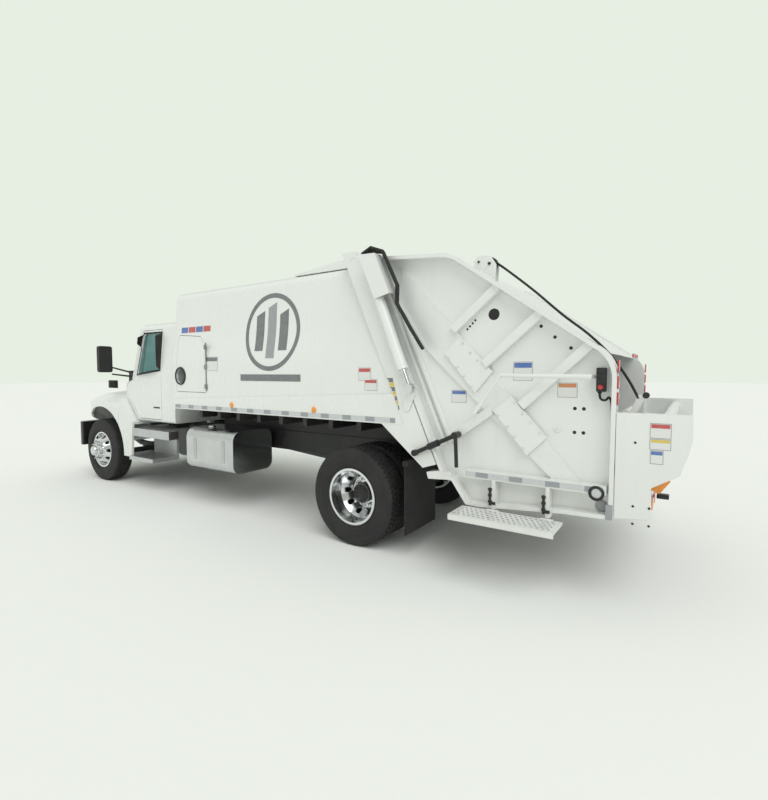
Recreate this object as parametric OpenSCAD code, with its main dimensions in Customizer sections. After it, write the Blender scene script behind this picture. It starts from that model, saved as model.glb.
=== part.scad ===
// Rear-loading garbage truck: conventional cab, barrel-sided body, lifting tailgate with
// a hopper, a sliding carrier and a packing blade.
// Frame: +X forward, +Y to the left, +Z up, origin on the ground under the middle of the box.

/* [Overall] */
// Length from the front bumper to the rear edge of the hopper wings
overall_l = 9180; // [8800:20:9900]
// Distance between the front and the rear axle
wheelbase = 5360; // [5100:20:5900]
// Distance from the front axle to the front of the bumper
front_overhang = 850; // [800:10:950]
// Width over the lower side rails of the body
body_w = 2380; // [2200:10:2500]
// Height of the body's underside above the ground
body_floor_z = 1304; // [1250:2:1400]
// Height of the body's roof at its middle
body_roof_z = 2985; // [2800:5:3200]

/* [Wheels] */
// Radius of a loaded tyre
tyre_r = 515; // [480:5:560]
// Width of a tyre
tyre_w = 276; // [250:2:300]
// Radius of the rim's flange
rim_r = 297; // [270:1:310]
// Distance between the centres of the front tyres
front_track = 2040; // [1960:10:2100]
// Distance between the centres of a pair of twin tyres
dual_spacing = 340; // [320:2:380]
// Distance between the centres of the outer rear tyres
rear_track = 2160; // [2080:10:2240]

/* [Chassis] */
// Width over the two frame rails
frame_w = 864; // [820:2:900]
// Height of the top of the frame rails
frame_top_z = 1010; // [980:5:1040]
// Depth of a frame rail
frame_h = 262; // [230:2:300]
// Width of a frame rail's flange
frame_flange = 88; // [70:2:100]
// Thickness of a frame rail's web and flanges
frame_t = 11; // [8:1:16]

/* [Cab] */
// Width of the cab over the doors
cab_w = 2120; // [2000:10:2200]
// Height of the cab's lower edge
cab_bottom_z = 1055; // [1045:5:1100]
// Height of the cab's roof
cab_roof_z = 2650; // [2560:5:2720]
// Thickness of the cab's walls
cab_wall = 45; // [35:1:60]
// Thickness of a door
door_t = 60; // [45:1:75]
// Gap around a door
door_gap = 8; // [6:1:12]

/* [Body] */
// Thickness of the body's side walls and roof
body_wall = 38; // [30:1:50]
// Slant of the body's rear opening from the vertical, in degrees
rear_slant = 23.5; // [18:1:26]
// Thickness of the rear pillars, across the truck
pillar_t = 110; // [90:5:130]

/* [Tailgate] */
// Thickness of the tailgate's side plates
plate_t = 30; // [20:1:40]
// Width of the flange around the side plates, across the truck
flange_w = 92; // [60:1:110]
// Thickness of the flange
flange_t = 34; // [25:1:45]
// Diameter of a lift cylinder's barrel
barrel_d = 106; // [90:1:112]
// Diameter of a lift cylinder's rod
rod_d = 52; // [40:1:60]
// Diameter of the pins of the lift cylinders
pin_d = 40; // [30:1:46]

/* [Hidden] */
$fn = 48;

// Stations along the truck
x_front = overall_l / 2;
x_back = -overall_l / 2;
x_fa = x_front - front_overhang;
x_ra = x_fa - wheelbase;
front_y = front_track / 2;
outer_y = rear_track / 2;
inner_y = outer_y - dual_spacing;
king_y = front_y - 100;
rail_y = frame_w / 2;
rail_bottom_z = frame_top_z - frame_h;
seat_gap = 0.3;

// Cab stations
cab_back_x = x_fa - 2010;
cab_front_x = cab_back_x + 1330;
cab_y = cab_w / 2;
door_back_x = cab_back_x + 350;
door_front_x = cab_back_x + 1290;
cowl_z = 1660;

// Body stations: the rear opening's plane passes through (slant_x, 0) and leans forward
body_front_x = cab_back_x - 145;
side_y = body_w / 2;
slant_top_x = x_ra + 94;
tan_slant = tan(rear_slant);
pillar_w = 200;
roof_edge_y = side_y - 140;

// Tailgate hinge and the lift cylinders
hinge_x = x_ra - 30;
hinge_z = body_roof_z - 55;
lift_pin_x = hinge_x - 230;
lift_pin_z = hinge_z - 70;
lift_foot_x = lift_pin_x - 480;
lift_foot_z = lift_pin_z - 1200;
lift_y = side_y + barrel_d / 2 + 12;
gate_y = side_y - flange_w;
gate_x = x_ra - 1000;

// x of the rear opening's plane at a height
function slant_x(z) = slant_top_x - (body_roof_z - z) * tan_slant;

// Points of an arc of radius r about (cx, cz)
function arc(cx, cz, r, a0, a1, n = 12) =
    [for (i = [0:n]) [cx + r * cos(a0 + (a1 - a0) * i / n), cz + r * sin(a0 + (a1 - a0) * i / n)]];

// A polygon with each corner [x, y, r] rounded to its own radius
function unit(v) = v / norm(v);
function corner(a, b, c, r, n) =
    let (u = unit(a - b), w = unit(c - b))
    let (half = acos(max(-1, min(1, u * w))) / 2)
    let (d = r / tan(half), centre = b + unit(u + w) * (r / sin(half)))
    let (p = b + u * d - centre, q = b + w * d - centre)
    let (sweep = 180 - 2 * half, s = sign(p.x * q.y - p.y * q.x))
    [for (i = [0:n]) centre + [p.x * cos(s * sweep * i / n) - p.y * sin(s * sweep * i / n),
                               p.x * sin(s * sweep * i / n) + p.y * cos(s * sweep * i / n)]];
function rounded(pts, n = 6) = [
    for (i = [0:len(pts) - 1])
        let (b = pts[i], a = pts[(i + len(pts) - 1) % len(pts)], c = pts[(i + 1) % len(pts)])
        each (b.z == 0 ? [[b.x, b.y]] : corner([a.x, a.y], [b.x, b.y], [c.x, c.y], b.z, n))
];

// Prism with a side outline (x, z), from y0 to y1
module side_prism(y0, y1) translate([0, y1, 0]) rotate([90, 0, 0]) linear_extrude(y1 - y0) children();
// Prism with a front outline (y, z), from x0 to x1
module front_prism(x0, x1) translate([x0, 0, 0]) rotate([90, 0, 90]) linear_extrude(x1 - x0) children();
// Cylinder along Y, centred on y
module y_cyl(x, y, z, r, h) translate([x, y - h / 2, z]) rotate([-90, 0, 0]) cylinder(r = r, h = h);
module box(a, b) translate(a) cube(b - a);
module both_sides() { children(); mirror([0, 1, 0]) children(); }
module ring(r0, r1, h) difference() { cylinder(r = r1, h = h); translate([0, 0, -1]) cylinder(r = r0, h = h + 2); }

// ---- Chassis ----
rail_back_x = slant_x(rail_bottom_z) + 60;
rail_front_x = x_front - 175 - seat_gap;

module frame_rail() {
    difference() {
        box([rail_back_x, rail_y - frame_flange, rail_bottom_z], [rail_front_x, rail_y, frame_top_z]);
        box([rail_back_x - 1, rail_y - frame_flange - 1, rail_bottom_z + frame_t],
            [rail_front_x + 1, rail_y - frame_t, frame_top_z - frame_t]);
    }
}

module frame_rails() {
    crossing = [rail_back_x + 40, x_ra - 420, x_ra + 420, x_ra + 1400, x_ra + 2500, x_fa - 1700];
    color("#17181a") difference() {
        union() {
            both_sides() frame_rail();
            for (x = crossing)
                box([x, -rail_y + frame_t, frame_top_z - 110], [x + 60, rail_y - frame_t, frame_top_z - 30]);
            // Front cross member
            box([rail_front_x - 70, -rail_y + frame_t, rail_bottom_z + 10],
                [rail_front_x - 1, rail_y - frame_t, rail_bottom_z + 120]);
            // Spring hangers
            both_sides() for (x = [x_fa - 560, x_fa + 470, x_ra - 640, x_ra + 600])
                box([x, rail_y - 84, rail_bottom_z - 100], [x + 70, rail_y, rail_bottom_z + 20]);
            // Pins the hood tilts on
            both_sides() y_cyl(hood_pivot.x, rail_y + 24, hood_pivot.y, hood_pin_d / 2, 50);
            // Tank brackets
            for (x = [tank_x0 + 190, tank_x1 - 190])
                box([x - 30, rail_y - frame_t, rail_bottom_z + 10], [x + 30, tank_y0 - seat_gap, rail_bottom_z + 120]);
        }
    }
}

bumper_x = x_front - 240;
module front_bumper() {
    bumper = [[x_front - 175, 0, 0], [x_front - 175, 800, 60], [bumper_x, 1120, 20], [bumper_x, 1165, 20],
              [x_front - 90, 1165, 120], [x_front, 780, 300], [x_front, 0, 0]];
    color("#1d1f21") difference() {
        both_sides() translate([0, 0, 545]) linear_extrude(400) polygon(rounded(bumper));
        // Tow hook slots and the air opening
        both_sides() box([x_front - 200, 300, 610], [x_front + 1, 400, 680]);
        box([x_front - 200, -240, 620], [x_front + 1, 240, 720]);
        // Number plate screws
        for (y = [-plate_dy / 2, plate_dy / 2]) for (z = [bumper_plate_z - plate_dz / 2, bumper_plate_z + plate_dz / 2])
            translate([x_front - 60, y, z]) rotate([0, 90, 0]) cylinder(d = plate_hole_d, h = 70);
    }
}
plate_dy = 178;
plate_dz = 120;
plate_hole_d = 7;
bumper_plate_z = 825;

// Engine, gearbox and propeller shaft in one line, each a plain shape
gearbox_z = 850;
module powertrain() {
    color("#3a3d40") union() {
        box([x_fa - 560, -330, 780], [x_fa + 480, 330, 1420]);
        box([x_fa - 640, -260, 700], [x_fa - 560, 260, 1180]);
        both_sides() for (x = [x_fa - 400, x_fa + 200])
            box([x, 329, 800], [x + 90, rail_y - frame_flange - seat_gap, 860]);
        translate([x_fa - 640, 0, gearbox_z]) rotate([0, -90, 0]) cylinder(d1 = 480, d2 = 300, h = 820);
        shaft_from = [x_fa - 1440, 0, gearbox_z];
        shaft_to = [x_ra + 352, 0, tyre_r + 40];
        shaft = shaft_to - shaft_from;
        translate(shaft_from) rotate([0, acos(shaft.z / norm(shaft)), 180]) cylinder(d = 110, h = norm(shaft));
        translate(shaft_from) sphere(d = 170);
        translate(shaft_to) sphere(d = 150);
    }
}

king_r = 22;
module front_axle() {
    color("#1b1c1e") difference() {
        union() {
            box([x_fa - 50, -king_y + 40, tyre_r - 145], [x_fa + 50, king_y - 40, tyre_r - 45]);
            both_sides() translate([x_fa, king_y, tyre_r - 145]) cylinder(r = 62, h = 190);
        }
        both_sides() translate([x_fa, king_y, tyre_r - 200]) cylinder(r = king_r, h = 300);
    }
}

module rear_axle() {
    color("#1b1c1e") union() {
        y_cyl(x_ra, 0, tyre_r, 75, 2 * (inner_y - 190));
        sphere_r = 235;
        translate([x_ra, 0, tyre_r]) sphere(r = sphere_r);
        translate([x_ra + 160, 0, tyre_r + 20]) rotate([0, 84, 0]) cylinder(d1 = 230, d2 = 130, h = 110);
        both_sides() y_cyl(x_ra, inner_y - 150, tyre_r, 205, 120);
        both_sides() y_cyl(x_ra, (inner_y - 100 + rear_end_y) / 2, tyre_r, hub_bore_r - 0.05, rear_end_y - inner_y + 100);
    }
}
hub_bore_r = 60;
rear_end_y = outer_y - dual_spacing / 2 + 60;

module leaf_pack(x, x0, x1, top, bottom, y0, y1) {
    spring = concat([for (i = [0:12]) let (t = i / 12) [x0 + (x1 - x0) * t, top - 4 * (top - bottom) * t * (1 - t)]],
                    [for (i = [12:-1:0]) let (t = i / 12)
                        [x0 + (x1 - x0) * t, top - 14 - 4 * (top - bottom) * t * (1 - t) - 60 * min(1, 3 * min(t, 1 - t))]]);
    side_prism(y0, y1) polygon(spring);
}
module leaf_springs() {
    color("#141516") both_sides() {
        leaf_pack(x_fa, x_fa - 520, x_fa + 500, rail_bottom_z - 100 - seat_gap, tyre_r + 46, rail_y - 80, rail_y - 4);
        box([x_fa - 60, rail_y - 82, tyre_r - 45 + seat_gap], [x_fa + 60, rail_y - 2, tyre_r - 10]);
        leaf_pack(x_ra, x_ra - 600, x_ra + 640, rail_bottom_z - 105, tyre_r + 160, rail_y - 80, rail_y - 4);
        box([x_ra - 80, rail_y - 82, tyre_r + 75 + seat_gap], [x_ra + 80, rail_y - 2, tyre_r + 120]);
    }
}

// ---- Wheels, knuckles and steering ----
bead_y = 106;
bead_r = rim_r - 13;
disc_y = 170;
disc_t = 15;
hub_r = 105;
spindle_r = hub_bore_r - 0.05;
hand_holes = 10;

module tyre(x, y) {
    shape = [[bead_r + 0.3, -bead_y + 0.3, 0], [rim_r + 1, -bead_y + 0.3, 0], [rim_r + 8, -bead_y - 16, 10],
             [tyre_r - 120, -tyre_w / 2, 90], [tyre_r - 34, -tyre_w / 2 + 6, 30], [tyre_r, -tyre_w / 2 + 34, 20],
             [tyre_r, tyre_w / 2 - 34, 20], [tyre_r - 34, tyre_w / 2 - 6, 30], [tyre_r - 120, tyre_w / 2, 90],
             [rim_r + 8, bead_y + 16, 10], [rim_r + 1, bead_y - 0.3, 0], [bead_r + 0.3, bead_y - 0.3, 0]];
    translate([x, y, tyre_r]) rotate([-90, 0, 0]) rotate_extrude($fn = 96) polygon(rounded(shape, 3));
}

// Rim with its disc on the +y side of the tyre; holes for hands; no hub
module rim_shape(bore) {
    shape = [[bead_r - 12, -bead_y - 13], [rim_r, -bead_y - 13], [rim_r, -bead_y], [bead_r, -bead_y],
             [bead_r, bead_y], [rim_r, bead_y], [rim_r, bead_y + 13], [bead_r - 12, bead_y + 13],
             [bead_r - 18, 60], [185, disc_y], [bore, disc_y], [bore, disc_y - disc_t], [178, disc_y - disc_t],
             [bead_r - 18, 38], [bead_r - 18, -60]];
    difference() {
        rotate([-90, 0, 0]) rotate_extrude($fn = 96) polygon(shape);
        for (i = [0:hand_holes - 1]) rotate([0, i * 360 / hand_holes, 0]) translate([222, 70, 0])
            rotate([-90, 0, 0]) cylinder(d = 58, h = 110);
    }
}

module front_rim(y_side) {
    translate([x_fa, y_side * front_y, tyre_r]) mirror([0, y_side < 0 ? 1 : 0, 0]) difference() {
        union() {
            rim_shape(hub_r - 1);
            rotate([-90, 0, 0]) translate([0, 0, 30]) cylinder(r = hub_r, h = disc_y + 10);
            rotate([-90, 0, 0]) translate([0, 0, disc_y + 40]) cylinder(r1 = 70, r2 = 62, h = 20);
        }
        rotate([-90, 0, 0]) translate([0, 0, 0]) cylinder(r = hub_bore_r, h = disc_y + 30);
    }
}

module rear_rims(y_side) {
    color("#d9dadb") mirror([0, y_side < 0 ? 1 : 0, 0]) difference() {
        union() {
            translate([x_ra, inner_y, tyre_r]) rim_shape(hub_r - 1);
            translate([x_ra, outer_y, tyre_r]) mirror([0, 1, 0]) rim_shape(hub_r - 1);
            y_cyl(x_ra, outer_y - dual_spacing / 2 - 40, tyre_r, hub_r, 320);
        }
        y_cyl(x_ra, outer_y - dual_spacing / 2 - 70, tyre_r, hub_bore_r, 300);
    }
}

module rear_tyres(y_side) color("#1a1a1b") {
    tyre(x_ra, y_side * outer_y);
    tyre(x_ra, y_side * inner_y);
}

arm_x = 190;
arm_y = 110;
arm_top_z = tyre_r - 148;
module knuckle(y_side) color("#202123") mirror([0, y_side < 0 ? 1 : 0, 0]) union() {
    translate([x_fa, king_y, tyre_r - 190]) cylinder(r = king_r - 0.05, h = 280);
    // Fork arms above and below the axle's eye, and the plate that joins them
    for (z = [tyre_r - 190, tyre_r + 48]) translate([x_fa, king_y, z]) cylinder(r = 58, h = 42);
    for (z = [tyre_r - 190, tyre_r + 48]) box([x_fa - 58, king_y, z], [x_fa + 58, king_y + 110, z + 42]);
    box([x_fa - 80, king_y + 76, tyre_r - 190], [x_fa + 80, king_y + 100, tyre_r + 90]);
    y_cyl(x_fa, king_y + 105, tyre_r, 200, 30);
    y_cyl(x_fa, (king_y + 100 + front_y + disc_y + 20) / 2, tyre_r, spindle_r, front_y + disc_y - king_y - 80);
    // Steering arm
    translate([0, 0, tyre_r - 190]) linear_extrude(42) hull() {
        translate([x_fa - 20, king_y - 10]) circle(r = 34, $fn = 32);
        translate([x_fa - arm_x, king_y - arm_y]) circle(r = 26, $fn = 32);
    }
}

module tie_rod() color("#202123") {
    y_cyl(x_fa - arm_x, 0, arm_top_z + 27, 20, 2 * (king_y - arm_y) - 30);
    both_sides() translate([x_fa - arm_x, king_y - arm_y, arm_top_z + 3]) cylinder(r = 26, h = 48);
}

// ---- Cab ----
// Outline points [x, y, r] of a counter-clockwise polygon moved inwards by d
function left(v) = [-v.y, v.x];
function flat(p) = [p.x, p.y];
function inset(pts, d) = [
    for (i = [0:len(pts) - 1])
        let (a = flat(pts[(i + len(pts) - 1) % len(pts)]), b = flat(pts[i]), c = flat(pts[(i + 1) % len(pts)]))
        let (m = left(unit(b - a)), n = left(unit(c - b)), p = b + (m + n) * (d / (1 + m * n)))
        [p.x, p.y, pts[i].z == 0 ? 0 : max(2, pts[i].z - d)]
];

screen_foot = [cab_front_x - 180, cowl_z + 30];
screen_top = [cab_front_x - 360, cab_roof_z - 90];
cab_side = [[cab_back_x, cab_bottom_z, 30], [cab_front_x - 345, cab_bottom_z, 50],
            [cab_front_x, cab_bottom_z + 385, 60], [cab_front_x, cowl_z - 20, 30], [screen_foot.x, screen_foot.y, 0],
            [screen_top.x, screen_top.y, 130], [cab_back_x + 600, cab_roof_z - 25, 500], [cab_back_x, cab_roof_z, 110]];
cab_section = [[-cab_y, cab_bottom_z, 40], [cab_y, cab_bottom_z, 40], [cab_y, cowl_z + 60, 500],
               [cab_y - 75, cab_roof_z - 110, 90], [0, cab_roof_z + 10, 2600], [-cab_y + 75, cab_roof_z - 110, 90],
               [-cab_y, cowl_z + 60, 500]];
module cab_solid(side_in, section_in) intersection() {
    side_prism(-cab_y, cab_y) polygon(rounded(inset(cab_side, side_in)));
    front_prism(cab_back_x - 1, cab_front_x + 1) polygon(rounded(inset(cab_section, section_in)));
}

door_side = [[door_back_x, cab_bottom_z + 45, 40], [cab_front_x - 390, cab_bottom_z + 45, 50],
             [door_front_x, cab_bottom_z + 395, 60], [door_front_x, cowl_z - 30, 30], [screen_foot.x - 60, cowl_z + 50, 60],
             [screen_top.x - 50, cab_roof_z - 205, 60], [door_back_x, cab_roof_z - 205, 50]];
window_side = [[door_back_x + 45, cowl_z + 190, 40], [screen_foot.x - 150, cowl_z + 120, 40],
               [screen_top.x - 100, cab_roof_z - 255, 60], [door_back_x + 45, cab_roof_z - 255, 40]];
screen_section = [[-cab_y + 130, cowl_z + 95, 60], [cab_y - 130, cowl_z + 95, 60],
                  [cab_y - 175, cab_roof_z - 190, 70], [-cab_y + 175, cab_roof_z - 190, 70]];
back_section = [[-480, cowl_z + 330, 60], [480, cowl_z + 330, 60], [460, cab_roof_z - 250, 60], [-460, cab_roof_z - 250, 60]];
door_depth = 210;
glass_t = 6;
glass_in = 14;

module cab_shell() color("#f2f3f1") difference() {
    union() {
        cab_solid(0, 0);
        // Mounts on the frame rails
        both_sides() for (x = [cab_back_x + 90, cab_front_x - 520])
            box([x, rail_y - 80, frame_top_z + seat_gap], [x + 90, rail_y - 10, cab_bottom_z + 5]);
    }
    difference() {
        cab_solid(cab_wall, cab_wall);
        // The floor is thicker, with a tunnel over the engine's rear
        box([cab_back_x, -cab_y, 0], [cab_front_x, cab_y, cab_bottom_z + 60]);
        box([cab_front_x - 420, -330, 0], [cab_front_x, 330, 1290]);
    }
    both_sides() side_prism(cab_y - door_depth, cab_y + 1) polygon(rounded(inset(door_side, -door_gap)));
    front_prism(cab_front_x - 420, cab_front_x + 10) polygon(rounded(screen_section));
    front_prism(cab_back_x - 10, cab_back_x + 200) polygon(rounded(back_section));
    // Room for the engine and gearbox under the floor
    box([cab_front_x - 375, -285, 0], [cab_front_x + 1, 285, 1240]);
}

module cab_glass() color("#7fb4b8", 0.5) {
    intersection() {
        front_prism(cab_front_x - 400, cab_front_x) polygon(rounded(inset(screen_section, seat_gap)));
        difference() { cab_solid(glass_in, 0); cab_solid(glass_in + glass_t, -1); }
        box([cab_back_x + 800, -cab_y, cowl_z + 40], [cab_front_x, cab_y, cab_roof_z]);
    }
    translate([cab_back_x + glass_in, 0, 0]) front_prism(0, glass_t) polygon(rounded(inset(back_section, seat_gap)));
}

module door() color("#f4f5f3") difference() {
    intersection() {
        cab_solid(0, 0);
        side_prism(cab_y - door_depth, cab_y + 1) polygon(rounded(door_side));
    }
    cab_solid(-400, door_t);
    box([cab_back_x, 0, cab_bottom_z], [cab_front_x, cab_y - door_t, cab_bottom_z + door_t + 1]);
    side_prism(0, cab_y + 1) polygon(rounded(window_side));
}
module door_glass() color("#5f9ca3", 0.5) intersection() {
    side_prism(0, cab_y + 1) polygon(rounded(inset(window_side, seat_gap)));
    difference() { cab_solid(-400, glass_in); cab_solid(-401, glass_in + glass_t); }
}
module left_door() door();
module right_door() mirror([0, 1, 0]) door();
module left_door_glass() door_glass();
module right_door_glass() mirror([0, 1, 0]) door_glass();

seat_x = cab_back_x + 130;
seat_floor_z = cab_bottom_z + 60 + seat_gap;
module seats() color("#3b3d40") both_sides() translate([seat_x, 520, seat_floor_z]) {
    side_prism(-240, 240) polygon(rounded([[90, 0, 20], [540, 0, 20], [540, 280, 20], [580, 310, 30], [580, 440, 50],
        [190, 420, 30], [60, 1060, 50], [-40, 1060, 50], [60, 300, 20]]));
}

dash_x = cab_front_x - cab_wall - 300;
module dashboard() color("#2c2e31") difference() {
    union() {
        // Steering column
        translate(wheel_c) rotate([0, -wheel_tilt, 0]) translate([0, 0, -270]) cylinder(r = 30, h = 175);
    side_prism(-cab_y + 130, cab_y - 130) polygon(rounded([[dash_x + 60, cab_bottom_z + 400, 20],
        [cab_front_x - cab_wall - 1, cab_bottom_z + 400, 20], [cab_front_x - cab_wall - 1, cowl_z - 60, 20],
        [dash_x + 120, cowl_z - 20, 40], [dash_x, cowl_z - 110, 40]]));
    }
    box([dash_x + 150, -335, 0], [cab_front_x, 335, cab_bottom_z + 420]);
}

wheel_tilt = 48;
wheel_c = [dash_x - 110, 520, cowl_z + 85];
module steering_wheel() color("#202224") translate(wheel_c) rotate([0, -wheel_tilt, 0]) {
    rotate_extrude() translate([205, 0]) circle(r = 15);
    for (a = [0, 120, 240]) rotate([0, 0, a]) translate([0, -16, -18]) cube([198, 32, 14]);
    translate([0, 0, -40]) cylinder(r = 55, h = 40);
    translate([0, 0, -92]) cylinder(r = 22, h = 60);
}

function cowl_line(x) = cowl_z - 20 + (cab_front_x - x) * 50 / 180 + seat_gap;
module mirrors() color("#1a1b1d") both_sides() {
    arm = [cab_front_x - 60, cab_y - 70, cowl_z + 95];
    head = [cab_front_x + 10, cab_y + 290, cowl_z + 350];
    // Foot on the cowl's slope and the two arms
    side_prism(cab_y - 110, cab_y - 30) polygon([[arm.x - 70, cowl_line(arm.x - 70)],
        [arm.x + 40, cowl_line(arm.x + 40)], [arm.x + 30, arm.z + 80], [arm.x - 60, arm.z + 80]]);
    for (z = [-10, 55]) hull() {
        translate(arm + [-10, 40, z]) sphere(r = 14, $fn = 24);
        translate([head.x, head.y - 90, head.z - 215 + z * 1.6]) sphere(r = 12, $fn = 24);
    }
    // Flat mirror head and the round one under it
    translate(head) rotate([0, 0, 8]) hull() {
        for (y = [-70, 70]) for (z = [-170, 170]) translate([0, y, z]) rotate([0, 90, 0]) cylinder(r = 32, h = 60, $fn = 32);
        translate([70, 0, 0]) rotate([0, 90, 0]) cylinder(r = 40, h = 14, $fn = 32);
    }
}

// Hood: centre part with a sloping top, two fenders, open wheel arches; tilts forward
hood_gap = 12;
hood_back_x = cab_front_x + hood_gap;
nose_x = x_front - 130;
arch_r = 725;
fender_y = cab_y + 90;
hood_t = 32;
hood_pivot = [x_front - 215, 975];
hood_pin_d = 36;
module hood_form(inner) {
    g = inner ? hood_t : 0;
    hull() {
        front_prism(hood_back_x - 1, hood_back_x + 20) polygon(rounded(
            [[-970 + g, inner ? 400 : 1080, 0], [970 - g, inner ? 400 : 1080, 0], [960 - g, 1500, 60],
             [830 - g, cowl_z + 30 - g, 120], [0, cowl_z + 95 - g, 1500], [-830 + g, cowl_z + 30 - g, 120], [-960 + g, 1500, 60]]));
        front_prism(nose_x - 420, nose_x - 400) polygon(rounded(
            [[-700 + g, inner ? 400 : 800, 0], [700 - g, inner ? 400 : 800, 0], [690 - g, 1330, 90],
             [560 - g, 1500 - g, 120], [0, 1570 - g, 1500], [-560 + g, 1500 - g, 120], [-690 + g, 1330, 90]]));
        front_prism(nose_x - 60 - g, nose_x - 40 - g) polygon(rounded(
            [[-610 + g, inner ? 400 : 800, 0], [610 - g, inner ? 400 : 800, 0], [600 - g, 1200, 90],
             [470 - g, 1380 - g, 120], [0, 1430 - g, 1500], [-470 + g, 1380 - g, 120], [-600 + g, 1200, 90]]));
    }
}
module fender_form(inner) {
    g = inner ? hood_t : 0;
    intersection() {
        side_prism(420, fender_y - g) polygon(rounded(inset([
            [x_fa - 665, 1000, 0], [x_fa - 665, inner ? 380 : 760, 0], [nose_x - 175, inner ? 380 : 760, 0], [nose_x - 95, 980, 120],
            [nose_x - 165, 1230, 160], [x_fa + 300, 1420, 300], [x_fa - 150, 1500, 500], [x_fa - 665, 1510, 0]], g)));
        translate([0, 0, -10]) linear_extrude(3000) polygon(rounded([[x_fa - 700, 0, 0], [nose_x - 60, 0, 0], [nose_x - 60, 520, 100],
            [nose_x - 200, fender_y - 60 - g, 220], [x_fa + 200, fender_y - g, 300], [x_fa - 700, fender_y - g, 0]]));
        front_prism(x_fa - 700, nose_x) polygon(rounded([[0, 0, 0], [fender_y - g, 0, 0], [fender_y - g, 1270, 120],
            [fender_y - 190 - g, 1450 - g, 160], [600, 1560 - g, 60], [0, 1560 - g, 0]]));
    }
}
module hood() color("#f3f4f2") {
    difference() {
        union() {
            hood_form(false);
            both_sides() fender_form(false);
        }
        hood_form(true);
        both_sides() fender_form(true);
        // Wheel arches, the grille opening and the cut where the fixed fender part begins
        y_cyl(x_fa, 0, tyre_r, arch_r, 2 * fender_y + 10);
        front_prism(nose_x - 200, nose_x + 10) polygon(rounded(grille_section));
        both_sides() fender_cut(hood_gap / 2);
        box([x_fa - 700, -450, 0], [nose_x + 10, 450, 830]);
        box([nose_x - 125, -700, 0], [nose_x + 10, 700, frame_top_z + 32]);
    }
    // Lugs on the tilt pins
    both_sides() side_prism(rail_y + 10, rail_y + 40) difference() {
        polygon(concat(arc(hood_pivot.x, hood_pivot.y, 36, 180, 360),
            [[hood_pivot.x + 36, hood_pivot.y + 105], [hood_pivot.x - 36, hood_pivot.y + 105]]));
        translate(hood_pivot) circle(d = hood_pin_d + 0.1);
    }
}
grille_section = [[-400, 1075, 30], [400, 1075, 30], [370, 1300, 60], [-370, 1300, 60]];
// Region behind the front wheel that belongs to the fixed fender part
module fender_cut(grow) side_prism(600, fender_y + 5) polygon([[x_fa - 1000, 300], [x_fa - 500, 300],
    [x_fa - 560 + grow, 980], [x_fa - 610, 1260 + grow], [x_fa - 700, 1400 + grow], [x_fa - 1000, 1400 + grow]]);

module fender_extensions() color("#f3f4f2") both_sides() {
    difference() {
        intersection() {
            side_prism(700, fender_y) polygon(rounded([[x_fa - 955, 485, 20], [x_fa - 640, 485, 10], [x_fa - 560, 900, 100],
                [x_fa - 590, 1340, 20], [x_fa - 668, 1380, 0], [x_fa - 668, 1425, 0], [x_fa - 700, 1380, 20],
                [x_fa - 1000, 1040, 20]]));
            fender_cut(-hood_gap / 2);
        }
        y_cyl(x_fa, 0, tyre_r, arch_r, 2 * fender_y + 10);
        // Hollow behind the outer skin, open towards the engine
        side_prism(699, fender_y - hood_t) polygon([[x_fa - 1000, 515], [x_fa - 700, 515], [x_fa - 700, 1330], [x_fa - 1000, 990]]);
    }
    // Bracket from the frame rail
    box([x_fa - 780, rail_y + seat_gap, 880], [x_fa - 740, fender_y - 10, 930]);
}

module grille() color("#c9cccd") {
    front_prism(nose_x - 70, nose_x - 45) difference() {
        polygon(rounded(inset(grille_section, seat_gap)));
        for (i = [0:4]) translate([-320, 1096 + i * 40]) square([640, 26]);
    }
}

// ---- Side equipment ----
step_x0 = cab_back_x + 20;
step_x1 = x_fa - 960;
module step_tread(x0, x1, y0, y1, z, h) {
    difference() {
        box([x0, y0, z - h], [x1, y1, z]);
        box([x0 + 8, y0 + 8, z - h - 1], [x1 - 8, y1 - 8, z - 10]);
    }
}
module cab_steps() color("#b9bbbb") both_sides() union() {
    step_tread(step_x0 + 10, step_x1 - 45, 800, cab_y + 90, 945, 120);
    step_tread(step_x0 + 380, step_x1, 800, cab_y + 130, 515, 60);
    // Hangers under the treads and the plate that joins them to the frame
    box([step_x0 + 390, 760, 456], [step_x1 - 10, 800, 930]);
    for (x = [step_x0 + 400, step_x1 - 60]) box([x, rail_y + seat_gap, 840], [x + 40, 760, 920]);
}

tank_len = 980;
tank_x1 = cab_back_x - 480;
tank_x0 = tank_x1 - tank_len;
tank_y0 = rail_y + 130;
tank_y1 = side_y + 10;
tank_z0 = 505;
tank_z1 = 1055;
module fuel_tank() color("#c8cacb") {
    translate([tank_x0, 0, 0]) front_prism(0, tank_len) polygon(rounded(
        [[tank_y0, tank_z0, 110], [tank_y1, tank_z0, 110], [tank_y1, tank_z1, 130], [tank_y0, tank_z1, 130]], 8));
    translate([tank_x1 - 330, tank_y1 - 170, tank_z1 - 20]) cylinder(d = 90, h = 50);
}

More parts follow.
